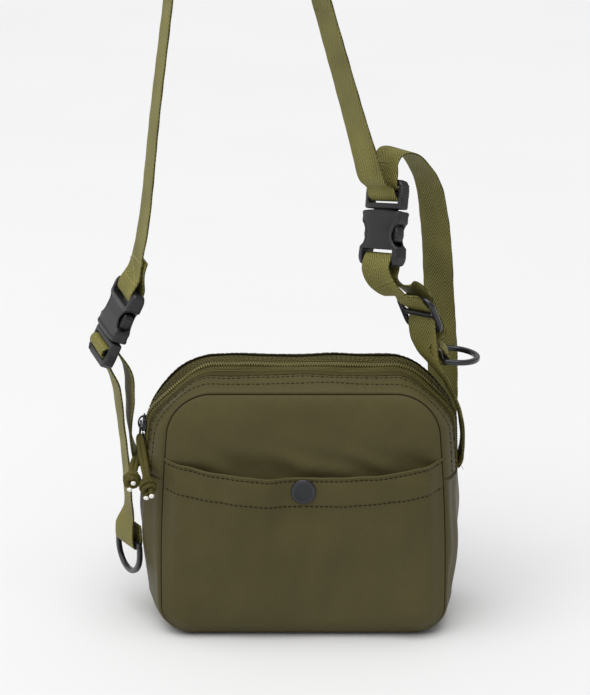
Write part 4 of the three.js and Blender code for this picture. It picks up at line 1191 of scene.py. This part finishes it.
CELL, PRONG_CELL, GLIDE_CELL, SLIDER_CELL = 0.4, 0.32, 0.3, 0.22
for side, m, female_body, male_body in (("left", LEFT_BUCKLE, "left_female", "bag"),
                                        ("right", RIGHT_BUCKLE, "bag", "right_male")):
    socket = moulded(f"{side}_buckle_socket", female_field, (-18, -6.4, -0.5), (18, 6.4, 35.5), CELL,
                     PLASTIC, m)
    riding(socket, female_body, "black_plastic", f"{side}_buckle_female")
    plug = moulded(f"{side}_buckle_plug", male_field, (-18, -4.8, -19.5), (18, 4.8, 17.5), CELL, PLASTIC, m)
    riding(plug, male_body, "black_plastic", f"{side}_buckle_male")
    for letter, sign in (("a", 1), ("b", -1)):
        flip = m @ np.diag([sign, sign, 1, 1])
        arm = moulded(f"{side}_latch_arm_{letter}", prong_field, (8.4, -3.8, 0), (15.6, 3.8, 20.6),
                      PRONG_CELL, PLASTIC, flip)
        riding(arm, f"{side}_latch_{letter}", "black_plastic", f"{side}_prong_{letter}")


# ---- D-rings and tri-glide ----
def arc(cx, cz, r, a, b, count):
    t = np.linspace(a, b, count)
    return np.stack([cx + r * np.cos(t), np.zeros(count), cz + r * np.sin(t)], axis=1)


def ring_path(half, deep, corner, count=26):
    """A D: a straight bar along X at the top and a round bow towards -Z."""
    bow = arc(0, half - deep, half, 0, -np.pi, count)
    top = [(-half, 0, -corner - 0.6)] + arc(-half + corner, -corner, corner, np.pi, np.pi / 2, 7).tolist()
    top += arc(half - corner, -corner, corner, np.pi / 2, 0, 7).tolist() + [(half, 0, -corner - 0.6)]
    path = np.concatenate([bow, np.array(top)])
    return resample(np.concatenate([path, path[:1]]), 0.7)[0][:-1]


def ring(name, m, half, deep, section, corner=2.4):
    path = ring_path(half, deep, corner)
    closed = np.concatenate([path[-1:], path, path[:1]])
    along = unit(np.gradient(closed, axis=0))[1:-1]
    up = np.tile([0.0, 1.0, 0.0], (len(path), 1))
    verts, groups, uv = swept(path, np.cross(up, along), up, section, closed=True)
    return piece(name, placed(m, verts), groups, METAL, uv, sharp=0)


def rounded_section(w, h, power=3.2, count=20):
    c, s = circle(1, count).T
    return np.stack([np.sign(c) * np.abs(c) ** (2 / power) * w, np.sign(s) * np.abs(s) ** (2 / power) * h],
                    axis=1)


for side, m in (("left", LEFT_RING), ("right", RIGHT_RING)):
    d_ring = ring(f"{side}_d_shaped_ring", m, 15.3, 21.4, rounded_section(1.85, 1.7))
    riding(d_ring, f"{side}_ring", "dark_metal", f"{side}_dring")


def glide_field(x, y, z):
    ax, az = np.abs(x), np.abs(z)
    corner = np.hypot(np.maximum(ax - 9, 0), np.maximum(az - 6, 0)) - 7.5
    frame_part = smax(corner, np.abs(y) - 1.7, 1.9)
    slot = smax(ax - 13.1, slab(az, 1.7, 9.6), 2.2)
    return smax(frame_part, -slot, 1.7)


glide = moulded("tri_glide_frame", glide_field, (-17, -2, -14), (17, 2, 14), GLIDE_CELL, METAL, TRI_GLIDE)
riding(glide, "tri_glide", "dark_metal", "right_tri_glide")


# ---- zip sliders, pull rings and knotted cords ----
def slider_field(x, y, z):
    ax = np.abs(x)
    width = np.interp(z, [-5.4, -4.6, 0, 3, 5.8], [3.2, 4.1, 4.5, 4.7, 2.6])
    plate = smax(smax(ax - width, slab(y, 0.7, 2), 0.7), slab(z, -5.2, 5.6), 0.8)
    wings = smax(smax(slab(ax, 3.5, 4.5), slab(y, -0.9, 1.6), 0.5), slab(z, -4.4, 3.8), 0.8)
    bridge = smax(smax(ax - 1.15, np.hypot((y - 1.4) / 3.7, z / 4.9) * 3.7 - 3.7, 0.8), 1.2 - y, 0.4)
    eye = np.hypot((y - 2.1) / 1.85, z / 3.6) * 1.85 - 1.85
    return smin(smin(plate, wings, 0.6), smax(bridge, -np.maximum(eye, 1.9 - y), 0.5), 0.4)


def slider_frame(z):
    """The slider's frame on the swollen left side: X across the zip, Y out of the bag, Z up along the zip."""
    left = TOP_RUN[:, 0] < 0
    line, up = (rows[left] for rows in zip_lines(0, 0.4))
    k = np.argmin(np.abs(TOP_RUN[left, 1] - z))
    run = unit(line[k - 2] - line[k + 2])
    run = run * np.sign(run[2])
    return frame_at(line[k], run, np.cross(unit(up[k]), run))


def braided(path, radius, start=0.0):
    """Cord with a raised braid: two crossing sets of strands on its surface."""
    path = resample(path, 0.3)[0]
    sides, ups = carried(path)
    a = np.linspace(0, 2 * np.pi, 20, endpoint=False)
    s = run_length(path)[:, None] + start
    relief = np.maximum(np.sin(5 * a + s * 2.6), np.sin(5 * a - s * 2.6))
    r = radius * (1 + 0.15 * relief)
    profile = np.stack([np.cos(a) * r, np.sin(a) * r], axis=-1)
    return swept(path, sides, ups, profile)


def bent(points, step=0.4):
    line, _ = curve_through([(np.array(p, float), np.zeros(3)) for p in points], 20)
    return resample(line, step)[0]


def barrel(top, way, radius, turns, pitch):
    """A cord wound round a knot's middle."""
    side = unit(np.cross(way, (0.2, 1, 0.1)))
    other = np.cross(way, side)
    a = np.linspace(0, 2 * np.pi * turns, int(turns * 36))[:, None]
    bulge = radius * (1 - 0.16 * np.cos(a / turns))
    return top + way * (a / (2 * np.pi) * pitch) + side * np.cos(a) * bulge + other * np.sin(a) * bulge


SLIDERS = {"upper": (130.5, (-97.9, -38.8, 106.8), 14), "lower": (117.6, (-107.3, -27.6, 106), 11)}
CORD_R = 1.45
EYE_LIFT, HANG = 2.95, 0.66   # the pull ring's height on its slider, and its lean in radians
RING_FOOT = 9.9               # where the cord passes through its ring
for name, (height, knot_top, span) in SLIDERS.items():
    m = slider_frame(height)
    slider = moulded(f"zip_slider_{name}_body", slider_field, (-5, -1.4, -5.8), (5, 5.4, 5.8), SLIDER_CELL,
                     METAL, m)
    riding(slider, f"{name}_slider", "dark_metal", f"zip_slider_{name}")
    c, s = math.cos(HANG), math.sin(HANG)
    hang = m @ np.array([[c, 0, s, 0], [0, 1, 0, EYE_LIFT], [-s, 0, c, 0], [0, 0, 0, 1]])
    pull_ring = ring(f"zip_pull_ring_{name}", hang, 4, 9, circle(0.62, 12), 1.0)
    riding(pull_ring, f"{name}_pull", "dark_metal", f"pull_ring_{name}")

    # the doubled cord runs along way from the ring to the knot; side lies across it and face points forward
    knot_top = np.array(knot_top, float)
    top = placed(hang, [(0, 0, -RING_FOOT)])[0]
    way = unit(knot_top - top)
    side = unit(np.cross(way, (0, 1, 0.3)))
    face = np.cross(way, side)
    end = knot_top + way * (span - 5)
    long = np.linalg.norm(knot_top - top)
    bow = side * CORD_R
    half = top + way * long * 0.5
    strands = [
        braided(bent([end - bow * 0.6, knot_top - bow * 0.6, half - bow * 1.1, top + way * 2.6 - bow * 0.9,
                      top - way * 0.5 - bow * 0.3, top - way * 0.5 + bow * 0.3, top + way * 2.6 + bow * 0.9,
                      half + bow * 1.15, knot_top + bow * 0.6, end + bow * 0.6]), CORD_R),
        braided(bent([knot_top + way - face * 1.8, top + way * long * 0.55 - face * 2.6,
                      top + way * 4.5 - face * 1.9, top + way * 2.2 - face * 0.6]), CORD_R, 3.0),
        braided(barrel(knot_top + way * 1.2, way, 3.7, 2.5, 3.1), CORD_R, 1.0),
        braided(bent([knot_top + way * 0.8 + side * 3.6, knot_top + way * 3.5 - face * 4.2 + side * 1.6,
                      knot_top + way * 6.8 - face * 4.1 - side * 1.8, knot_top + way * 8.8 - side * 3.3]),
                CORD_R, 2.0)]
    cores = []
    for k, (lean, drop) in enumerate(((-1.5, 1.0), (1.5, 2.6))):
        root = knot_top + way * (span - 6) + side * lean
        tip = root + way * drop + np.array([0, -3.6, -2.2]) + side * lean * 0.5
        strands.append(braided(bent([root - way * 3, root, tip]), CORD_R, k))
        out = unit(tip - root)
        upward = unit(np.cross(out, side))
        cuff = tip + out * np.linspace(-0.7, 0.7, 5)[:, None]
        across = np.cross(out, upward)
        cores.append(swept(cuff, np.tile(across, (5, 1)), np.tile(upward, (5, 1)), circle(1.65, 14),
                           scale=[0.9, 1, 1, 0.9, 0.55]))
    cord = sewn(f"zip_pull_cord_{name}", strands, CORD, sharp=0)
    riding(cord, f"{name}_pull", "pull_cord", f"pull_cord_{name}")
    riding(sewn(f"zip_pull_core_{name}", cores, CORE, sharp=40), f"{name}_pull", "pull_cord")

lining = frame["nodes"]["lining"].data.materials
lining.clear()
lining.append(LINING)

# ---- stage ----
floor_finish, tree, shader = finish("floor", 0.7)
place = node(tree, "TexCoord")
speck = noise(tree, place.outputs["Object"], 3, 2)
grey = mixed(tree, speck.outputs[0], linear(225, 225, 225), linear(229, 229, 229))
put(tree, shader.inputs["Base Color"], grey)
corners = 9000 * np.array([(-1, -1, 0), (1, -1, 0), (1, 1, 0), (-1, 1, 0)])
floor = piece("floor", corners, np.array([[0, 1, 2, 3]]), floor_finish, sharp=0)

world_look = bpy.data.worlds.new("studio")
world_look.use_nodes = True
background = world_look.node_tree.nodes["Background"]
background.inputs[0].default_value = (0.99, 0.99, 1.0, 1)
background.inputs[1].default_value = 0.45
scene.world = world_look


def lamp(name, kind, way, where=(0, 0, 0), **settings):
    """A light at where that shines along way."""
    light = bpy.data.lights.new(name, kind)
    for key, value in settings.items():
        setattr(light, key, value)
    obj = bpy.data.objects.new(name, light)
    obj.location = where
    obj.rotation_euler = Vector(way).to_track_quat("-Z", "Y").to_euler()
    scene.collection.objects.link(obj)


lamp("overhead", "SUN", (0.12, 0.32, -1), energy=2.5, angle=math.radians(60))
lamp("key", "AREA", (1.5, 1.0, -1.05), (-1.5, -1.0, 1.2), size=1.4, energy=4.6)
lamp("side", "AREA", (1.4, -0.5, -0.22), (-1.5, 0.5, 0.42), size=0.9, energy=1.3)
scene.view_settings.view_transform = "Standard"
